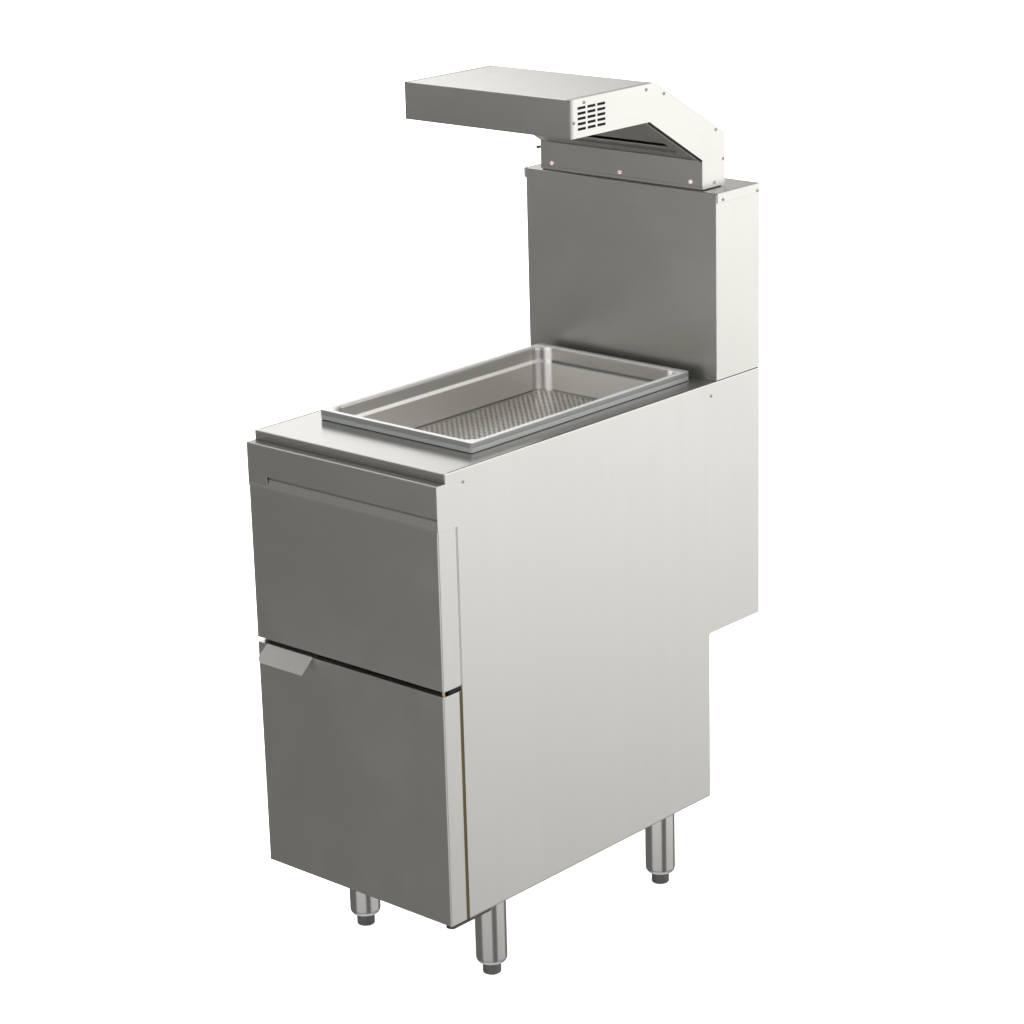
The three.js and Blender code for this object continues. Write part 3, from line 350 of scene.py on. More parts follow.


# Cabinet seams: a bead of grey sealant between each return of the fascia and the side panel, a narrow
# closing strip above it, a drip edge under the fascia with a black strip behind it, painted shade that
# darkens the gap, and a dark filler, painted shade, that closes the left end of the sloped band.
def new_piece(name, shape, material, stands_for=(), body="cabinet", sharp=35, parts=None,
              corner_map=None):
    """A mesh object at the origin from a shape's corners and faces, its doubles merged and its edges kept
    sharp past an angle. It rides on a body, and may stand for CAD nodes. A list of materials goes with the
    number of each face's own in parts, and corner_map gives each face corner its place in a UV map."""
    corners, faces = shape
    mesh = bpy.data.meshes.new(name)
    mesh.from_pydata(np.asarray(corners).reshape(-1, 3).tolist(), [], faces)
    for finish in material if isinstance(material, list) else [material]:
        mesh.materials.append(finish)
    if parts is not None:
        mesh.polygons.foreach_set("material_index", np.asarray(parts, np.int32))
    if corner_map is not None:
        places = np.asarray(corner_map, np.float32).ravel()
        mesh.uv_layers.new(name="corners").uv.foreach_set("vector", places)
    skin = bmesh.new()
    skin.from_mesh(mesh)
    bmesh.ops.remove_doubles(skin, verts=skin.verts, dist=0.000002)
    skin.to_mesh(mesh)
    skin.free()
    mesh.validate()
    mesh.shade_smooth()
    mesh.set_sharp_from_angle(angle=radians(sharp))
    piece = bpy.data.objects.new(name, mesh)
    bpy.context.scene.collection.objects.link(piece)
    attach(piece, body)
    if stands_for:
        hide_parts(*stands_for)
    return piece


def rounded_edges(piece, width):
    """A Bevel modifier that takes the sharpness off the edges steeper than 50 degrees."""
    bevel = piece.modifiers.new("rounded edges", "BEVEL")
    bevel.width, bevel.segments = width, 2
    bevel.limit_method, bevel.angle_limit = "ANGLE", radians(50)
    bevel.harden_normals = True


def joined(*parts):
    """Numbers joined into points, where a part may be one number or one for each row."""
    return np.stack(np.broadcast_arrays(*parts), axis=-1)


def prism(outline, low, high):
    """A shape drawn by its (y, z) corners, in turn from Y towards Z, and pulled along X."""
    y, z = np.asarray(outline, float).T
    k, count = np.arange(len(y)), len(y)
    after = (k + 1) % count
    walls = joined(k, after, after + count, k + count).tolist()
    return [joined(x, y, z) for x in (low, high)], walls + [k[::-1].tolist(), (k + count).tolist()]


def strip(low, high, y, z):
    """A plain strip between two values of each of X, Y and Z."""
    return prism([(y[0], z[0]), (y[1], z[0]), (y[1], z[1]), (y[0], z[1])], low, high)


def side_strips(name, inner, outer, y, z, material, body="cabinet"):
    """A strip on the right, between two distances from the middle, and its mirror image on the left."""
    left = new_piece(name + "_left", strip(-outer, -inner, y, z), material, body=body)
    right = new_piece(name + "_right", strip(inner, outer, y, z), material, body=body)
    return left, right


def moulded(name, colour, gloss, grain=420.0):
    """Moulded plastic or rubber: a fine pebbled skin from noise, a cloudy colour and paler rubbed edges."""
    made, tree, shader = new_material(name)
    spot = object_place(tree)
    pebbles = noise(tree, spot, grain, 2.0)
    edges, dusty = use(tree, soft_edges, 0.0004), use(tree, settled_dust, 0.25)
    base = mixed(tree, noise(tree, spot, 45.0, 4.0), toned(colour, 0.85), toned(colour, 1.15))
    wear_and_painted_highlight = mixed(tree, scaled(tree, edges["Edge"], 0.35), base, toned(colour, 1.6, 0.02))
    coated = mixed(tree, dusty["Dust"], wear_and_painted_highlight, (0.45, 0.43, 0.40, 1))
    rough = scaled(tree, pebbles, 0.2, gloss - 0.1)
    relief = node(tree, "Bump", {"Height": pebbles, "Normal": edges["Normal"], "Strength": 0.2,
                                 "Distance": 0.0002})[0]
    fill(shader, {"Base Color": coated, "Roughness": rough, "Normal": relief})
    return made


grey_sealant = moulded("grey sealant", (0.2, 0.196, 0.188), 0.6)
dark_sealant_and_shade_filler = moulded("dark sealant and shade filler", (0.05, 0.047, 0.042), 0.6)
# Near black, used as painted shade: in the fascia's gap, behind and round the hood's vent slots, and beside
# the soffit's slope.
shade_black = moulded("black for painted shade", (0.006, 0.006, 0.006), 0.95)
door_low, door_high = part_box("door_skin")
front, side_out = door_low.y, panel_high.x
fascia_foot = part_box("front_fascia")[0].z
return_back = front + 38.5 * mm
side_strips("fascia_seam", side_out - 1.1 * mm, side_out + 0.05 * mm,
            (return_back - 0.3 * mm, return_back + 4.4 * mm), (fascia_foot + 0.3 * mm, band_foot - 2 * mm),
            grey_sealant)
side_strips("fascia_closing_strip", side_out - 1.1 * mm, side_out + 0.03 * mm,
            (front + 0.6 * mm, return_back + 3.4 * mm), (band_foot - 2 * mm, band_foot + 1.4 * mm),
            panel_sheet)
drip = strip(-side_out, side_out, (front, return_back), (fascia_foot - 1.7 * mm, fascia_foot))
rounded_edges(new_piece("fascia_drip_edge", drip, fascia_sheet), 0.3 * mm)
# Painted shade: a black strip set back in the gap between the fascia and the door.
gap_shade = strip(-side_out + 1 * mm, side_out - 1 * mm, (front + 14 * mm, return_back - 1 * mm),
             (fascia_foot - 8.6 * mm, fascia_foot - 1.8 * mm))
new_piece("fascia_gap_shade", gap_shade, shade_black)
# Painted shade: a dark filler in the notch at the left end of the sloped band, where the rail's tab ends.
# Its material also serves the soffit's sealant bead.
tab_end = -side_out + 41.4 * mm
cheek_foot, cheek_top = band_foot + 5.4 * mm, band_foot + 14.8 * mm
cheek = prism([(front + 0.4 * mm, cheek_foot), (front + 1.7 * mm, cheek_foot),
               (front + 4.9 * mm, cheek_top), (front + 0.4 * mm, cheek_top)],
              tab_end - 0.9 * mm, tab_end - 0.3 * mm)
new_piece("band_end_shade_filler", cheek, dark_sealant_and_shade_filler)


# Worktop and collar: the worktop is one sheet with its skirts folded down, brushed from front to
# back, with a painted highlight along its front. The collar is a satin bar frame, bedded on a dark seal
# and flush with the pan's rim above it; the bar is painted lighter low down, a painted reflection.
def grid_faces(rows, columns, first=0, flip=False):
    """Quads between neighbours of a grid of corners, row by row, each row closed on itself. A flip turns
    them to face the other way."""
    row, place = first + np.arange(rows - 1)[:, None] * columns, np.arange(columns)
    after = (place + 1) % columns
    quads = joined(row + place, row + after, row + columns + after, row + columns + place).reshape(-1, 4)
    return (quads[:, ::-1] if flip else quads).tolist()


def rounded_outline(half_x, half_y, corner, centre, steps):
    """Points round rectangles with round corners, one row for each size given. A corner's points are
    (half - radius + radius x cos t, half - radius + radius x sin t), a quarter turn to each corner."""
    half_x, half_y, corner = (
        np.asarray(size, float).reshape(-1, 1) for size in np.broadcast_arrays(half_x, half_y, corner))
    quarter = np.repeat(np.arange(4), steps + 1)
    t = quarter * pi / 2 + np.tile(np.linspace(0, pi / 2, steps + 1), 4)
    sign_x, sign_y = np.array([1, -1, -1, 1])[quarter], np.array([1, 1, -1, -1])[quarter]
    x = centre[0] + sign_x * (half_x - corner) + corner * np.cos(t)
    y = centre[1] + sign_y * (half_y - corner) + corner * np.sin(t)
    return x, y


worktop_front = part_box("worktop")[0].y
# A painted highlight along the worktop's front edge and down its front skirt.
worktop_sheet = steel("worktop sheet brushed lengthwise", brushed_lengthwise, (0.46, 0.456, 0.442), 0.2,
                      edge=0.0015, bands=[(forward, -worktop_front - 1.6 * mm, 0.8 * mm, 1.8)])
dress(worktop_sheet, "worktop")
pan_low, pan_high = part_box("food_pan")
pan_half, pan_centre = ((pan_high - pan_low) / 2).xy, ((pan_high + pan_low) / 2).xy
collar_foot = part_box("pan_collar")[0].z
# A painted reflection: from just under the pan's top edge downwards the bar is lighter, on the collar and
# on the pan's turned-down rim.
satin_bar = steel("satin bar", (30, 30, 2400), (0.203, 0.21, 0.203), 0.3, marks=0.06, metal=0.4, bands=[
    (down, 1.5 * mm - pan_high.z, 9 * mm, 1.75)])


def frame_bar(name, ring, material, stands_for=()):
    """A bar carried round the pan's opening: each point of its section is (inset from the pan's edge,
    height above the collar's foot), and the inner points turn a larger corner than the outer ones."""
    inset, height = np.array(ring).T * mm
    corner = np.where(inset < 5 * mm, 4 * mm, 24 * mm)
    x, y = rounded_outline(pan_half.x - inset, pan_half.y - inset, corner, pan_centre, 12)
    shape = joined(x, y, collar_foot + height[:, None]), grid_faces(*x.shape, flip=True)
    new_piece(name, shape, material, stands_for)


frame_bar("pan_collar_bar", [(0.1, 0.9), (0.4, 0.6), (9.7, 0.6), (10, 0.9), (10, 7.7), (9.7, 8), (0.4, 8),
                             (0.1, 7.7), (0.1, 0.9)], satin_bar, ["pan_collar"])
bedding_sealant = moulded("bedding sealant", (0.12, 0.118, 0.112), 0.6)
frame_bar("pan_collar_seal", [(1, -0.25), (9, -0.25), (9, 0.7), (1, 0.7), (1, -0.25)], bedding_sealant)


# Legs: drawn stainless tubes, polished, whose lower ends are spun in to a round shoulder. Each hangs on
# a flanged socket in the base, and a moulded foot with a flat sole screws into it.
def arc_points(centre, radius, start, end, steps):
    """Points (centre + radius x (cos t, sin t)) for t from start to end, in degrees."""
    t = np.radians(np.linspace(start, end, steps + 1))
    return joined(centre[0] + radius * np.cos(t), centre[1] + radius * np.sin(t))


def turned(profile, foot, segments, hollow=False):
    """A turned skin: each (radius, height) of the profile swept round an upright axis, so that a corner is
    (x + r cos t, y + r sin t, z). A hollow one goes on from its last ring to its first, and any other is
    closed by a cap at each end."""
    radius, height = np.asarray(profile, float).T[..., None]
    t = np.linspace(0, 2 * pi, segments, endpoint=False)
    corners = joined(foot[0] + radius * np.cos(t), foot[1] + radius * np.sin(t), height)
    rings = len(profile)
    if hollow:
        return np.concatenate([corners, corners[:1]]), grid_faces(rings + 1, segments)
    caps = [list(range(segments))[::-1], list(range((rings - 1) * segments, rings * segments))]
    return corners, grid_faces(rings, segments) + caps


polished_tube = steel("polished tube", (60, 60, 2600), (0.76, 0.755, 0.74), 0.16, scratch=0.03, depth=0.12)
foot_plastic = moulded("foot plastic", (0.045, 0.045, 0.045), 0.5)
socket_steel = steel("zinc plated socket", (200, 200, 1200), (0.55, 0.56, 0.57), 0.35, dust=0.2)
tube, tube_end, tube_wall, shoulder, bore = 25.4 * mm, 15.5 * mm, 1.5 * mm, 11 * mm, 6.3 * mm
sole, stem, tip = 14.9 * mm, 6 * mm, 0.5 * mm
quarter_turn = np.linspace(0, pi / 2, 15)
for place in ("left_front", "right_front", "left_rear", "right_rear"):
    low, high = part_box("leg_" + place)
    foot_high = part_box("foot_" + place)[1].z
    centre = (low + high) / 2
    spun = joined(tube_end + (tube - tube_end) * np.sin(quarter_turn),
                  low.z + shoulder * (1 - np.cos(quarter_turn)))
    inner_foot, shank_top = low.z + 15 * mm, low.z - 0.3 * mm
    profile = [(bore, inner_foot), (bore, low.z), *spun, (tube, high.z - 0.4 * mm),
               (tube - 0.4 * mm, high.z), (tube - tube_wall, high.z), (tube - tube_wall, inner_foot)]
    new_piece("leg_tube_" + place, turned(profile, centre, 96, hollow=True), polished_tube,
              ["leg_" + place])
    profile = np.concatenate([
        [(tip, 0.0)], arc_points((sole - 2.5 * mm, 2.5 * mm), 2.5 * mm, -90, 0, 8),
        [(sole, 6.2 * mm), (sole - 0.5 * mm, 6.6 * mm), (sole - 0.5 * mm, 7.2 * mm), (sole, 7.6 * mm)],
        arc_points((sole - 1.2 * mm, shank_top - 1.2 * mm), 1.2 * mm, 0, 90, 6),
        [(stem, shank_top), (stem, foot_high - 1 * mm), (stem - 1 * mm, foot_high), (tip, foot_high)],
    ])
    new_piece("foot_" + place + "_moulding", turned(profile, centre, 72), foot_plastic,
              ["foot_" + place], "foot_" + place + "_body")
    dress(socket_steel, "leg_socket_" + place)


# Door: a shallow folded box with a flat yellow-passivated liner behind it, hung on two brass pins. The
# pins are turned, and the lower one stands on a blackened flat strap under the cabinet.
def plated(name, colour, gloss, cloud, metallic=1.0):
    """A plated or turned metal: its colour drifts in clouds between two shades, with softened edges."""
    made, tree, shader = new_material(name)
    clouds = noise(tree, object_place(tree), 28.0, 5.0, distortion=0.6)
    edges, wiped = use(tree, soft_edges, 0.0005), use(tree, wipe_marks, 0.08)
    base = mixed(tree, clouds, colour + (1,), cloud + (1,))
    worn = mixed(tree, scaled(tree, edges["Edge"], 0.5), base, toned(colour, 1.25))
    fill(shader, {"Metallic": metallic, "Base Color": worn, "Normal": edges["Normal"],
                  "Roughness": scaled(tree, wiped["Marks"], 0.2, gloss)})
    return made


passivated = plated("yellow passivated zinc", (0.50, 0.40, 0.18), 0.42, (0.42, 0.38, 0.24))
brass = plated("turned brass", (0.62, 0.50, 0.32), 0.28, (0.52, 0.40, 0.24))
strap_steel = plated("blackened strap", (0.12, 0.115, 0.105), 0.4, (0.09, 0.085, 0.08))
edge_trim = plated("passivated edge", (0.16, 0.125, 0.055), 0.45, (0.12, 0.098, 0.048))
magnet_case = moulded("magnet case", (0.05, 0.05, 0.05), 0.45)
dress(passivated, "door_liner")
dress(brass, "upper_hinge_pin", "lower_hinge_pin")
dress(strap_steel, "lower_hinge_bracket", "door_strike")
dress(magnet_case, "door_magnet")
for trim in side_strips("door_edge_trim", side_out - 1.1 * mm, side_out + 0.3 * mm,
                        (return_back - 3.9 * mm, return_back + 1.9 * mm),
                        (door_low.z + 0.5 * mm, door_high.z - 0.5 * mm), edge_trim, "door"):
    rounded_edges(trim, 0.1 * mm)


# Door pull: a strip folded over the door's top edge and down at a slant, one lower corner cut round. It
# is the same sheet as the door, brushed across, with its cut edges rubbed smooth for the fingers.
def fold_line(points, radius, steps=12):
    """The line of a folded sheet's outer face and the normal along it: straight runs joined by arcs that
    touch both. Each arc is centre + radius x (unit normal turned by t), t growing to the turn."""
    points = np.asarray(points, float)
    runs = points[1:] - points[:-1]
    ways = runs / np.linalg.norm(runs, axis=1)[:, None]
    normals = joined(-ways[:, 1], ways[:, 0])
    turns = np.arctan2(
        ways[:-1, 0] * ways[1:, 1] - ways[:-1, 1] * ways[1:, 0], np.sum(ways[:-1] * ways[1:], axis=1))
    line, lean = [points[:1]], [normals[:1]]
    for corner, way, normal, turn in zip(points[1:-1], ways[:-1], normals[:-1], turns):
        side = np.sign(turn)
        start = corner - way * radius * tan(abs(turn) / 2)
        centre = start + normal * radius * side
        t = np.linspace(0, turn, steps + 1)[:, None]
        bent = normal * np.cos(t) - way * np.sin(t)
        line.append(centre - bent * radius * side)
        lean.append(bent)
    return np.concatenate(line + [points[-1:]]), np.concatenate(lean + [normals[-1:]])


def folded_sheet(line, lean, thickness, low, high):
    """A folded sheet pulled along X as one closed skin. For each point of the line there are four corners:
    its outer and inner face, at the low and the high end, and the ends may differ from point to point."""
    inner = line + lean * thickness
    loops = np.stack([
        joined(x, *face.T) for x, face in ((low, line), (high, line), (high, inner), (low, inner))], axis=1)
    last = (len(line) - 1) * 4
    ends = [[0, 1, 2, 3], [last + 3, last + 2, last + 1, last]]
    return loops, grid_faces(len(line), 4, flip=True) + ends


sheet = 1.2 * mm
pull_sheet = steel("pull strip brushed across", brushed_across, (0.73, 0.72, 0.695))
pull_low, pull_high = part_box("door_pull")
pull_slant, pull_corner = radians(40), 13 * mm
front_out = front - 1 * mm
pull_tip = pull_high.z - (front_out - pull_low.y) * tan(pull_slant)
bend = 2.5 * mm
line, lean = fold_line([(pull_high.y, pull_high.z), (front_out, pull_high.z), (pull_low.y, pull_tip)], bend)
extra = np.linspace(0, 1, 15)[1:] * pi / 2
slope = np.array([cos(pull_slant), sin(pull_slant)])
corner_start = np.array([pull_low.y, pull_tip]) + slope * pull_corner
tip_run = corner_start - slope * pull_corner * np.sin(extra)[:, None]
line = np.concatenate([line[:-1], corner_start[None], tip_run])
lean = np.concatenate([lean[:-1], np.repeat(lean[-1:], len(extra) + 1, axis=0)])
rounding = np.concatenate([np.zeros(len(line) - len(extra)), pull_corner * (1 - np.cos(extra))])
pull = folded_sheet(line, lean, sheet, pull_low.x + rounding, pull_high.x)
rounded_edges(new_piece("door_pull_strip", pull, pull_sheet, ["door_pull"], "door"), 0.2 * mm)


# Riser: a cover folded from one sheet over two side plates and a back plate. The edge of its cap stands
# out a little on the left. In the back is a nylon cable gland with a hexagonal nut, whose ribbed dome
# clamps the lead.
riser_low, riser_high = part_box("riser_cover")
# Painted shade: the cover's top face is a little darker.
riser_sheet = steel("riser cover brushed across", brushed_across, (0.63, 0.622, 0.6), bands=[
    (up, riser_high.z - 0.2 * mm, 0.1 * mm, 0.9)])
dress(riser_sheet, "riser_cover")
cap_edge = strip(riser_low.x - 3.6 * mm, riser_low.x, (riser_low.y + 0.5 * mm, riser_high.y - 0.5 * mm),
                 (riser_high.z - 17 * mm, riser_high.z))
rounded_edges(new_piece("riser_cap_edge", cap_edge, riser_sheet), 0.6 * mm)
gland_nylon = moulded("gland nylon", (0.045, 0.045, 0.048), 0.42, grain=900.0)
dress(gland_nylon, "cable_gland")


# Post gasket: a black rubber strip set in under the hood's post. The post's sheets are hemmed down over
# its upper half, so that it shows as a thin dark line above the riser.
gasket_rubber = moulded("gasket rubber", (0.07, 0.068, 0.064), 0.7)
hem_sheet = steel("hem brushed across", brushed_across, edge=0.00005)
post_low, post_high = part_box("hood_post_panel")
gasket_low, gasket_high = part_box("post_gasket")
hood_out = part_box("hood_right_side")[1].x
gasket = strip(post_low.x + 1.5 * mm, post_high.x - 1.5 * mm, (post_low.y + 0.8 * mm, gasket_high.y),
               (gasket_low.z, gasket_high.z))
new_piece("post_gasket_strip", gasket, gasket_rubber, ["post_gasket"])
hem = (gasket_high.z - 2.5 * mm, post_low.z + 1.5 * mm)
front_hem = strip(post_low.x, post_high.x, (post_low.y - 0.08 * mm, post_low.y + 0.7 * mm), hem)
new_piece("post_hem_front", front_hem, hem_sheet)
side_strips("post_hem", hood_out - 1.2 * mm, hood_out + 0.08 * mm, (post_low.y, gasket_high.y + 5 * mm),
            hem, hem_sheet)


# Hood: the shell is one sheet, folded at the foot, back, slope, top and face, and drawn here with smooth
# bends in place of flat-sided ones. The side plates are punched with vent slots; a black sheet behind
# them and a thin black rim round each slot are painted shade, which darkens the slots and makes them
# look larger. The shell, side plates and soffit carry strips of painted shade and painted highlight.
shell_low, shell_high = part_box("hood_shell")
hood_edge = shell_high.z - 60 * mm
hood_peak = shell_low.y + 205 * mm
hood_back_top = shell_low.z + 81.5 * mm
line, lean = fold_line([
    (shell_high.y - 20 * mm, shell_low.z), (shell_high.y, shell_low.z), (shell_high.y, hood_back_top),
    (hood_peak, shell_high.z), (shell_low.y, shell_high.z), (shell_low.y, hood_edge),
    (shell_low.y + 20 * mm, hood_edge),
], bend)
# Painted shade along the side edges of the shell's top.
shell_sheet = steel("hood shell brushed across", brushed_across, bands=[
    ((1, 0, 3), shell_high.x + 3 * shell_high.z - 10 * mm, 3 * mm, 0.6)])
shell = folded_sheet(line, lean, sheet, shell_low.x, shell_high.x)
rounded_edges(new_piece("hood_shell_sheet", shell, shell_sheet, ["hood_shell"]), 0.2 * mm)
rear_slope = Vector((0, shell_high.z - hood_back_top, shell_high.y - hood_peak)).normalized()
slope_start = rear_slope.dot(Vector((0, hood_peak, shell_high.z)))
# Painted shade down the side plates' front edge and along their rear slope.
hood_side_sheet = steel("hood side brushed lengthwise", brushed_lengthwise, bands=[
    (forward, -shell_low.y - 9.5 * mm, 8 * mm, 0.45),
    (tuple(rear_slope), slope_start - 1.6 * mm, 0.4 * mm, 0.8)])
dress(hood_side_sheet, "hood_left_side", "hood_right_side")
soffit_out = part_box("hood_soffit")[1].x
# A painted highlight along both sides of the soffit.
soffit_sheet = steel("soffit sheet", (14, 900, 900), (0.60, 0.585, 0.56), 0.4, bands=[
    ((1, 0, 0), soffit_out - 15 * mm, 1 * mm, 1.6)])
dress(soffit_sheet, "hood_soffit")
# Painted shade: a black sheet behind the vent slots, so that they look dark.
side_strips("vent_shade_backing", shell_high.x - 2.4 * mm, shell_high.x - 0.1 * mm,
            (shell_low.y + 15 * mm, shell_low.y + 86 * mm),
            (shell_high.z - 51 * mm, shell_high.z - 11 * mm), shade_black)
# Painted shade: a thin black rim round each slot, which makes the slots look larger.
first_vent = np.array([shell_low.y + 27 * mm, shell_high.z - 14.7 * mm])
vent_steps = np.array([(23.3 * column, -8 * row) for column in range(3) for row in range(5)]) * mm
vent_half, vent_shade_rim = np.array([8.5, 1.45]) * mm, np.array([0.9, 0.6]) * mm
vent_corners = np.array([(1, 1), (-1, 1), (-1, -1), (1, -1)])
vent_section = np.array([(0, -0.1 * mm), (1, -0.1 * mm), (1, 0.12 * mm), (0, 0.12 * mm), (0, -0.1 * mm)])
vent_rings = vent_corners * (vent_half + vent_section[:, None, :1] * vent_shade_rim)
vents = (first_vent + vent_steps)[:, None, None] + vent_rings
for side, way in (("left", -1), ("right", 1)):
    corners, faces = joined(way * (hood_out + vent_section[:, 1:]), vents[..., 0], vents[..., 1]), []
    for first in np.arange(len(vents)) * vent_rings[..., 0].size:
        faces += grid_faces(len(vent_section), len(vent_corners), first, flip=way < 0)
    new_piece("vent_shade_rim_" + side, (corners, faces), shade_black)


# Screws: small stainless pan heads with a cross recess, along the cabinet's, riser's and hood's sides,
# and three larger ones that hold the post's front panel, pale pink with a painted highlight.
def screw_heads(places, outward, across, radius, height):
    """Pan heads on a face. A corner at (r, t) of the head lies r along (cos t, sin t) in the face, and
    stands out by height x (1 - (r/R)^4) ^ 0.5, less a cross-shaped dip near the middle."""
    shares = [0.02, 0.12, 0.22, 0.32, 0.42, 0.5, 0.56, 0.62, 0.7, 0.8, 0.88, 0.94, 0.98, 1.0, 1.0]
    r = np.array(shares)[:, None] * radius
    t = np.linspace(0, 2 * pi, 48, endpoint=False)
    a, b = r * np.cos(t), r * np.sin(t)
    dome = height * np.sqrt(np.clip(1 - (r / radius) ** 4, 0, 1)) + np.zeros_like(a)
    arm, reach = 0.16 * radius, 0.58 * radius
    def soft(inside):
        return np.clip(inside / (0.06 * radius) + 0.5, 0, 1)
    cross_a = soft(arm - np.abs(a)) * soft(reach - np.abs(b))
    cross_b = soft(arm - np.abs(b)) * soft(reach - np.abs(a))
    stand = dome - 0.62 * height * np.maximum(cross_a, cross_b)
    stand[-2:] = [[0.12 * height], [0]]
    head = joined(a, b, stand) @ np.array([across, np.cross(outward, across), outward])
    faces = []
    for first in np.arange(len(places)) * a.size:
        middle, rim = first + np.arange(t.size), first + a.size - 1 - np.arange(t.size)
        faces += grid_faces(r.size, t.size, first, flip=True) + [middle.tolist(), rim.tolist()]
    return np.array(places)[:, None, None] + head, faces


screw_steel = plated("screw steel", (0.50, 0.49, 0.47), 0.24, (0.44, 0.43, 0.42))
side_screws = [
    ("cabinet", side_out, [(57.7, 861.4), (658.2, 860.7)]),
    ("riser", riser_high.x, [(690.4, 1181.5), (781.7, 1181.3)]),
    ("hood", hood_out, [(386.6, 1377.3), (361.9, 1348.7), (536.8, 1376.4), (580.7, 1364.5), (713.1, 1288.3),
                        (732.6, 1238.3), (709.1, 1203.0)]),
]
for part, face, spots in side_screws:
    for side, way in (("left", -1), ("right", 1)):
        places = [(way * face, front + back * mm, height * mm) for back, height in spots]
        heads = screw_heads(places, (way, 0, 0), (0, way, 0), 2.6 * mm, 1.5 * mm)
        new_piece(f"{part}_screws_{side}", heads, screw_steel)
back_screws = [
    ("riser_cover", [(-150, -9), (0, -9), (150, -9)]),
    ("upper_back_panel", [(-185, -60), (185, -60), (-185, -250), (185, -250), (-185, -420), (185, -420)]),
    ("lower_back_panel", [(-185, -30), (185, -30), (-185, -260), (185, -260)]),
    ("riser_back", [(-185, -150), (185, -150), (-185, -280), (185, -280)]),
]
for part, spots in back_screws:
    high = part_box(part)[1]
    places = [(x * mm, high.y, high.z + drop * mm) for x, drop in spots]
    heads = screw_heads(places, (0, 1, 0), (-1, 0, 0), 2.6 * mm, 1.5 * mm)
    new_piece(part + "_screws", heads, screw_steel)
# A pale pinkish, half-matt finish that stands in for the heads' highlight: a pinkish tint with a painted
# highlight.
post_screw_painted_highlight = plated("pale pink screw with painted highlight", (0.90, 0.74, 0.72), 0.5, (0.86, 0.70, 0.68), metallic=0.3)
for side in ("left", "middle", "right"):
    low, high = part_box("post_screw_" + side)
    middle = (low + high) / 2
    head = screw_heads([(middle.x, post_low.y, middle.z)], (0, -1, 0), (1, 0, 0), 3.6 * mm, 2.2 * mm)
    new_piece(f"post_screw_{side}_head", head, post_screw_painted_highlight, ["post_screw_" + side])


# Heater: two sheathed rods in ceramic holders under a bright folded reflector, behind a slotted guard,
# and a ceramic terminal block with its wiring. The rods are dark from the heat.
trough_steel = steel("reflector sheet", (30, 900, 900), (0.70, 0.69, 0.67), 0.2)
rod_sheath = plated("heat-tinted sheath", (0.16, 0.13, 0.11), 0.45, (0.24, 0.20, 0.18), metallic=0.8)
ceramic = moulded("unglazed ceramic", (0.72, 0.68, 0.60), 0.75, grain=1500.0)
lead_rubber = moulded("lead rubber", (0.035, 0.035, 0.035), 0.6)
dress(trough_steel, "heat_reflector", "element_guard")
dress(rod_sheath, "heating_element_front", "heating_element_rear")
dress(ceramic, "left_element_holder", "right_element_holder", "terminal_block")
dress(lead_rubber, "mains_lead", "heater_lead")


# Soffit seam: a bead of dark heat-proof sealant, laid along the slope just ahead of the post, where the
# soffit's sheet laps the post's, and a black strip down the slope beside the right side plate, painted
# shade in the corner where the soffit meets it.
slope_foot = Vector((0, post_low.y, post_high.z + 1.5 * mm))
slope_peak = Vector((0, shell_low.y + 190.5 * mm, hood_edge))
seam_share = (slope_foot.y - (front + 654 * mm)) / (slope_foot.y - slope_peak.y)
seam_centre = slope_foot.lerp(slope_peak, seam_share)
slope_way = (slope_peak - slope_foot).normalized()
slope_out = Vector((0, slope_way.z, -slope_way.y))
if slope_out.z > 0:
    slope_out.negate()
half_turn = np.linspace(0, pi, 13)
bead = [seam_centre + 2.0 * mm * cos(t) * slope_way + 2.4 * mm * sin(t) * slope_out for t in half_turn]
soffit_bead = prism([corner.yz for corner in bead], -136 * mm, 136 * mm)
new_piece("soffit_sealant", soffit_bead, dark_sealant_and_shade_filler)
# Painted shade: a black strip down the slope along the right side plate.
strip_depth = 3.4 * mm * slope_out
section = [slope_peak, slope_peak + strip_depth, slope_foot + strip_depth, slope_foot]
slope_shade_strip = prism([corner.yz for corner in section], hood_out - 2 * mm, hood_out - 0.1 * mm)
new_piece("slope_shade_strip", slope_shade_strip, shade_black)


# Switch: a toggle on the left of the post, with a plated hexagon nut and a dark moulded lever that ends
# in a small ball. Its body is a dark moulding inside the hood.
switch_case = moulded("switch case", (0.04, 0.04, 0.045), 0.4)
dress(switch_case, "switch_body")
dress(screw_steel, "switch_nut")
lever_low, lever_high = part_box("switch_lever")
pivot = np.array([shell_low.x - 3 * mm, (lever_low.y + lever_high.y) / 2, shell_low.z + 32.5 * mm])
bat = np.concatenate([
    arc_points((0, 0), 2.9 * mm, -89, 50, 12), [(1.9 * mm, 5 * mm), (2.2 * mm, 12 * mm)],
    arc_points((0, 18.2 * mm), 2.7 * mm, 0, 89, 8)])
corners, faces = turned(bat, (0, 0), 32)
lean_back = radians(102)
across, along = corners[..., 0], corners[..., 2]
corners = pivot + joined(across * cos(lean_back) - along * sin(lean_back), corners[..., 1],
                         across * sin(lean_back) + along * cos(lean_back))
new_piece("switch_lever_bat", (corners, faces), switch_case, ["switch_lever"], "toggle")


# Food pan: one sheet, deep drawn, with a flat rim turned down at its edge, a stacking step and a round
# foot to its walls. It is dull inside from washing, with faint upright lines from the drawing, and its
# walls, step and rim carry painted shade and painted highlights.
pan_wall, pan_flange, pan_lip = 1 * mm, 12 * mm, 8.2 * mm
pan_deep, pan_taper, pan_corner, rim_corner = pan_high.z - pan_low.z, 1.6 * mm, 25 * mm, 4 * mm
foot_round, mouth_round, rim_round = 9 * mm, 5 * mm, 2 * mm


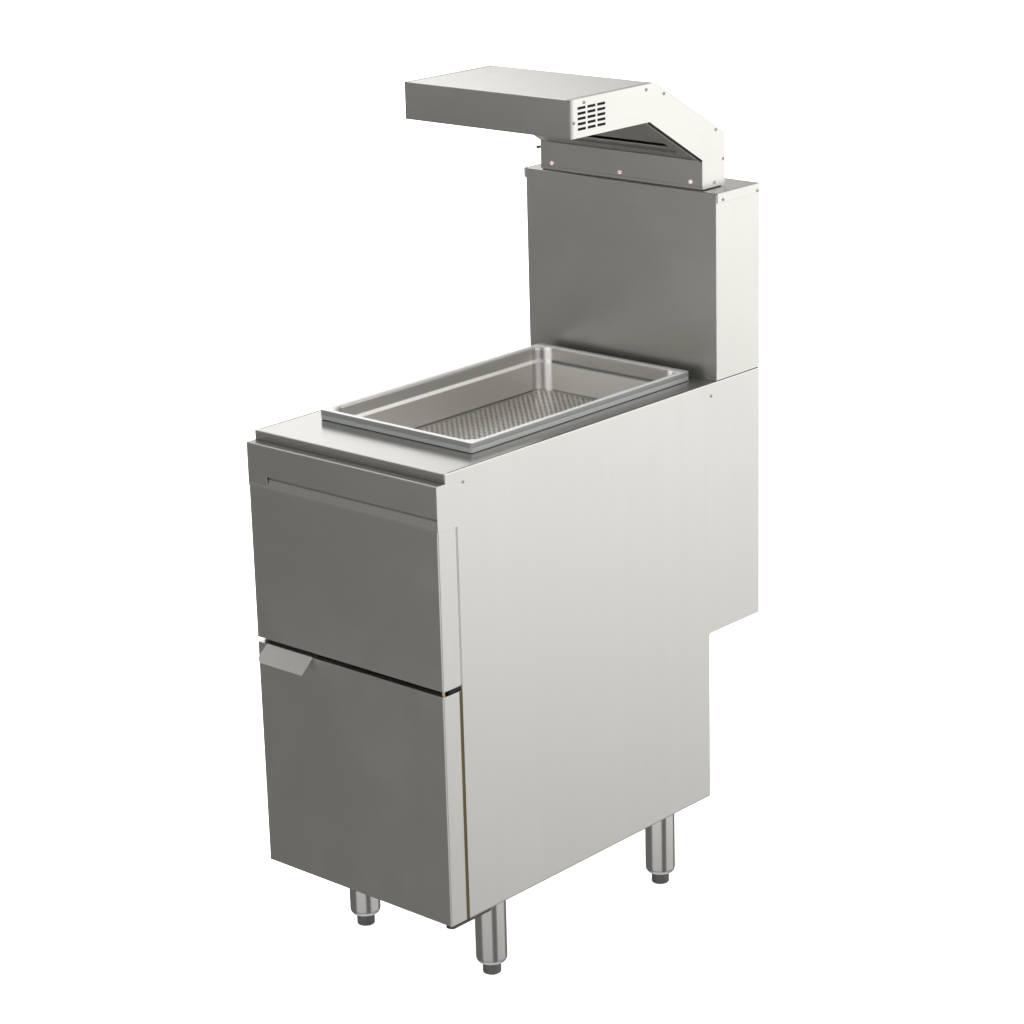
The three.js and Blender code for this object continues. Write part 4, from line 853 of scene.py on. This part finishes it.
def wall_inset(depth):
    """How far the wall stands in from the rim's edge: the flange, an even taper, and the stacking step,
    a slope 3.8 mm wide and 4.6 mm high about 25 mm down."""
    step = 3.8 * mm * np.clip((depth - 22.6 * mm) / (4.6 * mm), 0, 1)
    return pan_flange + pan_taper * depth / pan_deep + step


wall_depths = np.concatenate([
    np.linspace(pan_deep - foot_round - pan_wall, 30 * mm, 8)[1:], np.linspace(27.6 * mm, 22.2 * mm, 28),
    np.linspace(20 * mm, 7 * mm, 5)])
foot_x, foot_y = wall_inset(pan_deep) + foot_round, pan_deep - foot_round
mouth = (pan_flange - mouth_round, mouth_round)
inside = np.concatenate([
    arc_points((foot_x, foot_y - pan_wall), foot_round, 90, 180, 10),
    joined(wall_inset(wall_depths), wall_depths),
    arc_points(mouth, mouth_round, 0, -90, 10)])
edge = arc_points((rim_round, rim_round), rim_round, -90, -180, 10)
lip = np.array([(0, pan_lip - 0.3 * mm), (0.3 * mm, pan_lip), (pan_wall - 0.3 * mm, pan_lip),
                (pan_wall, pan_lip - 0.3 * mm), (pan_wall, pan_wall)])
outside = np.concatenate([
    arc_points(mouth, mouth_round - pan_wall, -90, 0, 10),
    joined(wall_inset(wall_depths) - pan_wall, wall_depths + pan_wall)[::-1],
    arc_points((foot_x - pan_wall, foot_y), foot_round, 180, 90, 10)])
profile = np.concatenate([inside, edge, lip, outside])
corner_sizes = np.repeat([pan_corner, rim_corner, pan_corner],
                         [len(inside), len(edge) + len(lip), len(outside)])
corner_steps = 20
inset, depth = profile.T
x, y = rounded_outline(pan_half.x - inset, pan_half.y - inset, corner_sizes, pan_centre, corner_steps)
pan_corners = joined(x, y, pan_high.z - depth[:, None])
ring_size = x.shape[1]
pan_faces = grid_faces(len(profile), ring_size, flip=True)
pan_faces += [list(range(ring_size)), list(range(x.size - ring_size, x.size))[::-1]]
row_parts = np.repeat([0, 1, 2], [len(inside) + 5, len(edge) - 5 + len(lip), len(outside) - 1])
pan_parts = np.concatenate([np.repeat(row_parts, ring_size), [0, 2]])
place_round = np.arange(ring_size) % (corner_steps + 1)
back_to_front = np.repeat(np.arange(4) % 2 == 1, corner_steps + 1)
turn_share = joined(place_round, place_round + 1, place_round + 1, place_round) / corner_steps
turn_share = np.where(back_to_front[:, None], 1 - turn_share, turn_share)
long_share = 1 - turn_share
straight = place_round == corner_steps
turn_share[straight] = 0
long_share[straight] = back_to_front[straight][:, None]
strip_map = joined(turn_share, long_share).reshape(-1, 2)
corner_map = np.concatenate([np.tile(strip_map, (len(profile) - 1, 1)), np.zeros((2 * ring_size, 2))])


def paint_pan_light_and_shade(material):
    """Paints light and shade onto the pan: upright streaks round its corners, painted shade and painted
    highlights in place of reflections; painted shade on the long walls and on the short walls, darkest on
    their step; a painted highlight, pale and matt, on the long walls' step and low on the short walls; and
    a pale matt rim, a painted highlight, with painted shade near the riser. U of the map is the share of a
    corner's turn from long to short wall, and V is 1 on a long wall and 0 on a short one."""
    tree = material.node_tree
    shader = tree.nodes["Principled BSDF"]
    place = split(tree, node(tree, "UVMap", {}, uv_map="corners")[0])
    turn, long_wall = place["X"], place["Y"]
    short_wall = scaled(tree, long_wall, -1.0, 1.0)
    spot = split(tree, object_place(tree))
    along, depth = spot["Y"], scaled(tree, spot["Z"], -1 / pan_deep, pan_high.z / pan_deep)
    def ramp(share, *stops):
        return grey_ramp(tree, share, stops, (1, 1, 1))
    def both(first, second, operation="MULTIPLY"):
        return calc(tree, operation, first, second)
    wall = ramp(depth, (0.012, 0), (0.03, 1))
    rim = ramp(depth, (0.004, 1), (0.02, 0))
    step = ramp(depth, (0.21, 0), (0.24, 1), (0.256, 1), (0.286, 0))
    above = ramp(depth, (0.012, 0), (0.03, 1), (0.21, 1), (0.24, 0))
    below = ramp(depth, (0.256, 0), (0.286, 1))
    # Painted shade: dark upright streaks round the corners, in place of reflections.
    corner_painted_shade = both(wall, ramp(turn, (0.0, 0), (0.05, 0.8), (0.15, 0.8), (0.24, 0), (0.44, 0), (0.5, 0.9),
                              (0.56, 0.9), (0.64, 0)))
    # Painted highlight: pale, matt streaks round the corners, on the long walls' step and low on the short
    # walls.
    wear_and_painted_highlight = both(wall, ramp(turn, (0.2, 0), (0.3, 0.45), (0.38, 0.45), (0.46, 0), (0.58, 0), (0.72, 1),
                             (0.88, 1), (1.0, 0.3)))
    wear_and_painted_highlight = both(wear_and_painted_highlight, scaled(tree, both(step, long_wall), 0.85), "MAXIMUM")
    wear_and_painted_highlight = both(wear_and_painted_highlight, scaled(tree, both(below, short_wall), 0.22), "MAXIMUM")
    grey = shader.inputs["Base Color"].links[0].from_socket
    # Painted shade on the walls, above and below the step, and on the short walls' step.
    for height, side, factor in (
            (above, long_wall, 0.66), (below, long_wall, 0.8), (above, short_wall, 0.8),
            (step, short_wall, 0.25)):
        grey = shaded(tree, both(height, side), grey, factor)
    grey = mixed(tree, corner_painted_shade, grey, (0.45, 0.43, 0.41, 1))
    grey = mixed(tree, wear_and_painted_highlight, grey, (1.0, 0.98, 0.95, 1))
    # The rim: pale and matt as a painted highlight, with painted shade towards the riser.
    run = reached(tree, along, pan_high.y - 14 * mm, pan_high.y - 11 * mm)
    rim_grey = mixed(tree, run, (0.57, 0.565, 0.55, 1), (0.33, 0.325, 0.315, 1))
    bare = both(scaled(tree, wear_and_painted_highlight, -0.62, 0.9), scaled(tree, rim, -0.75, 0.9), "MINIMUM")
    fill(shader, {"Base Color": mixed(tree, rim, grey, rim_grey), "Metallic": bare})


# Painted shade: the pan is darker low down, under the drain plate.
pan_steel = steel("drawn pan steel", (700, 700, 60), (0.86, 0.84, 0.81), scratch=0.04, marks=0.16,
                  dust=0.25, metal=0.9, bands=[(down, -pan_low.z - 28 * mm, 1 * mm, 0.35)])
paint_pan_light_and_shade(pan_steel)
pan_outside = steel("pan steel outside", (700, 700, 60), (0.55, 0.545, 0.53), 0.32, marks=0.12, dust=0.2)
new_piece("pan_sheet", (pan_corners, pan_faces), [pan_steel, satin_bar, pan_outside],
          ["food_pan"], "pan", sharp=50, parts=pan_parts, corner_map=corner_map)


# Drain plate: a false bottom punched with staggered round holes, on two thin ribs, so that oil drips
# through. It is stainless sheet like the pan, in a plain finish of its own.
def rounded_corners(points, half, corner):
    """Plate points with the square corners drawn in to round ones: in a corner square, where u and v run
    from 0 to 1 towards the corner, a point goes to (u sqrt(1 - v^2 / 2), v sqrt(1 - u^2 / 2))."""
    start = half - corner
    share = np.clip((np.abs(points) - start) / corner, 0, None)
    drawn = share * np.sqrt(1 - share[..., ::-1] ** 2 / 2)
    return np.sign(points) * np.where(share > 0, start + corner * drawn, np.abs(points))


def perforated_plate(half, corner, centre, top, thickness, pitch, radius):
    """A flat plate of cells, one hole each. Rows lie half a pitch apart, and every other row is moved half
    a pitch, so the holes stand in a lattice at 45 degrees. A cell is 12 quads from its border to its hole,
    12 down the hole and 12 underneath. Half cells fill the row ends, and a margin joins the outermost
    border to the plate's outline."""
    cell_size, gap_size = 4 * 12, 2 * 8
    def placed(flat, *heights):
        return joined(flat[..., 0], flat[..., 1], np.array(heights)[:, None])
    columns, rows = (int(2 * (size - 1.5 * mm) / pitch) for size in half)
    rows *= 2
    across = (np.arange(columns) - (columns - 1) / 2) * pitch
    along = (np.arange(rows) - (rows - 1) / 2) * pitch / 2
    under = top - thickness
    border = np.array([(2, -1), (2, 0), (2, 1), (1, 1), (0, 1), (-1, 1), (-2, 1), (-2, 0), (-2, -1),
                       (-1, -1), (0, -1), (1, -1)]) * pitch / 4
    hole = arc_points((0, 0), radius, -30, 300, 11)
    even = np.stack(np.meshgrid(across, along[0::2]), -1).reshape(-1, 2)
    odd = np.stack(np.meshgrid(across[:-1] + pitch / 2, along[1::2]), -1).reshape(-1, 2)
    cells = np.concatenate([even, odd])[:, None, None] + np.stack([border, hole, hole, border])
    gap = np.array([(0, -1), (1, -1), (2, -1), (2, 0), (2, 1), (1, 1), (0, 1), (0, 0)]) * pitch / 4
    starts = np.concatenate([joined(x, along[1::2]) for x in (across[0] - pitch / 2, across[-1])])
    gaps = np.repeat(starts[:, None, None] + gap, 2, axis=1)
    n_x, n_y = columns * 4, rows * 2
    run_x, run_y = np.linspace(-1, 1, n_x + 1)[:-1], np.linspace(-1, 1, n_y + 1)[:-1]
    outline = np.concatenate([joined(1, run_y), joined(-run_x, 1), joined(-1, -run_y), joined(run_x, -1)])
    inner, outer = outline * [columns * pitch / 2, rows * pitch / 4], outline * half
    margin = np.stack([inner, outer, outer, inner])
    corners = np.concatenate([part.reshape(-1, 3) for part in (
        placed(cells, top, top, under, under), placed(gaps, top, under),
        placed(margin, top, top, under, under))])
    corners[:, :2] = rounded_corners(corners[:, :2], half, corner) + centre
    faces = [quad for first in np.arange(len(cells)) * cell_size for quad in grid_faces(4, 12, first)]
    gap_first = cell_size * len(cells)
    gap_tops = gap_first + gap_size * np.arange(len(gaps))[:, None] + np.arange(8)
    faces += gap_tops.tolist() + (gap_tops[:, ::-1] + 8).tolist()
    return corners, faces + grid_faces(4, len(outline), gap_first + gap_size * len(gaps), flip=True)


drain_low, drain_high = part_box("drain_plate")
drain_half = np.array(((drain_high - drain_low) / 2).xy)
plate_corners, plate_faces = perforated_plate(
    drain_half, 22 * mm, np.array(pan_centre), drain_high.z, 1 * mm, 11.85 * mm, 2.5 * mm)
rib_x, rib_half, rib_end = 85.5 * mm, 0.5 * mm, drain_half[1] - 46 * mm
box_corners = np.array([(x, y, z) for x in (-1, 1) for y in (-1, 1) for z in (0, 1)], float)
box_faces = np.array([(0, 1, 3, 2), (4, 6, 7, 5), (0, 4, 5, 1), (2, 3, 7, 6), (0, 2, 6, 4), (1, 5, 7, 3)])
rib_low = np.array([*pan_centre, drain_low.z])
rib_size = np.array([rib_half, rib_end, drain_high.z - 1 * mm - drain_low.z])
rib_corners = np.concatenate([rib_low + [way * rib_x, 0, 0] + box_corners * rib_size for way in (-1, 1)])
rib_faces = (np.concatenate([box_faces, box_faces + 8]) + len(plate_corners)).tolist()
drain_steel = steel("punched plate steel", (500, 60, 500), (0.67, 0.655, 0.63), 0.30, scratch=0.04,
                    marks=0.12, dust=0.2)
plate = np.concatenate([plate_corners, rib_corners]), plate_faces + rib_faces
new_piece("drain_plate_sheet", plate, drain_steel, ["drain_plate"], "drain")
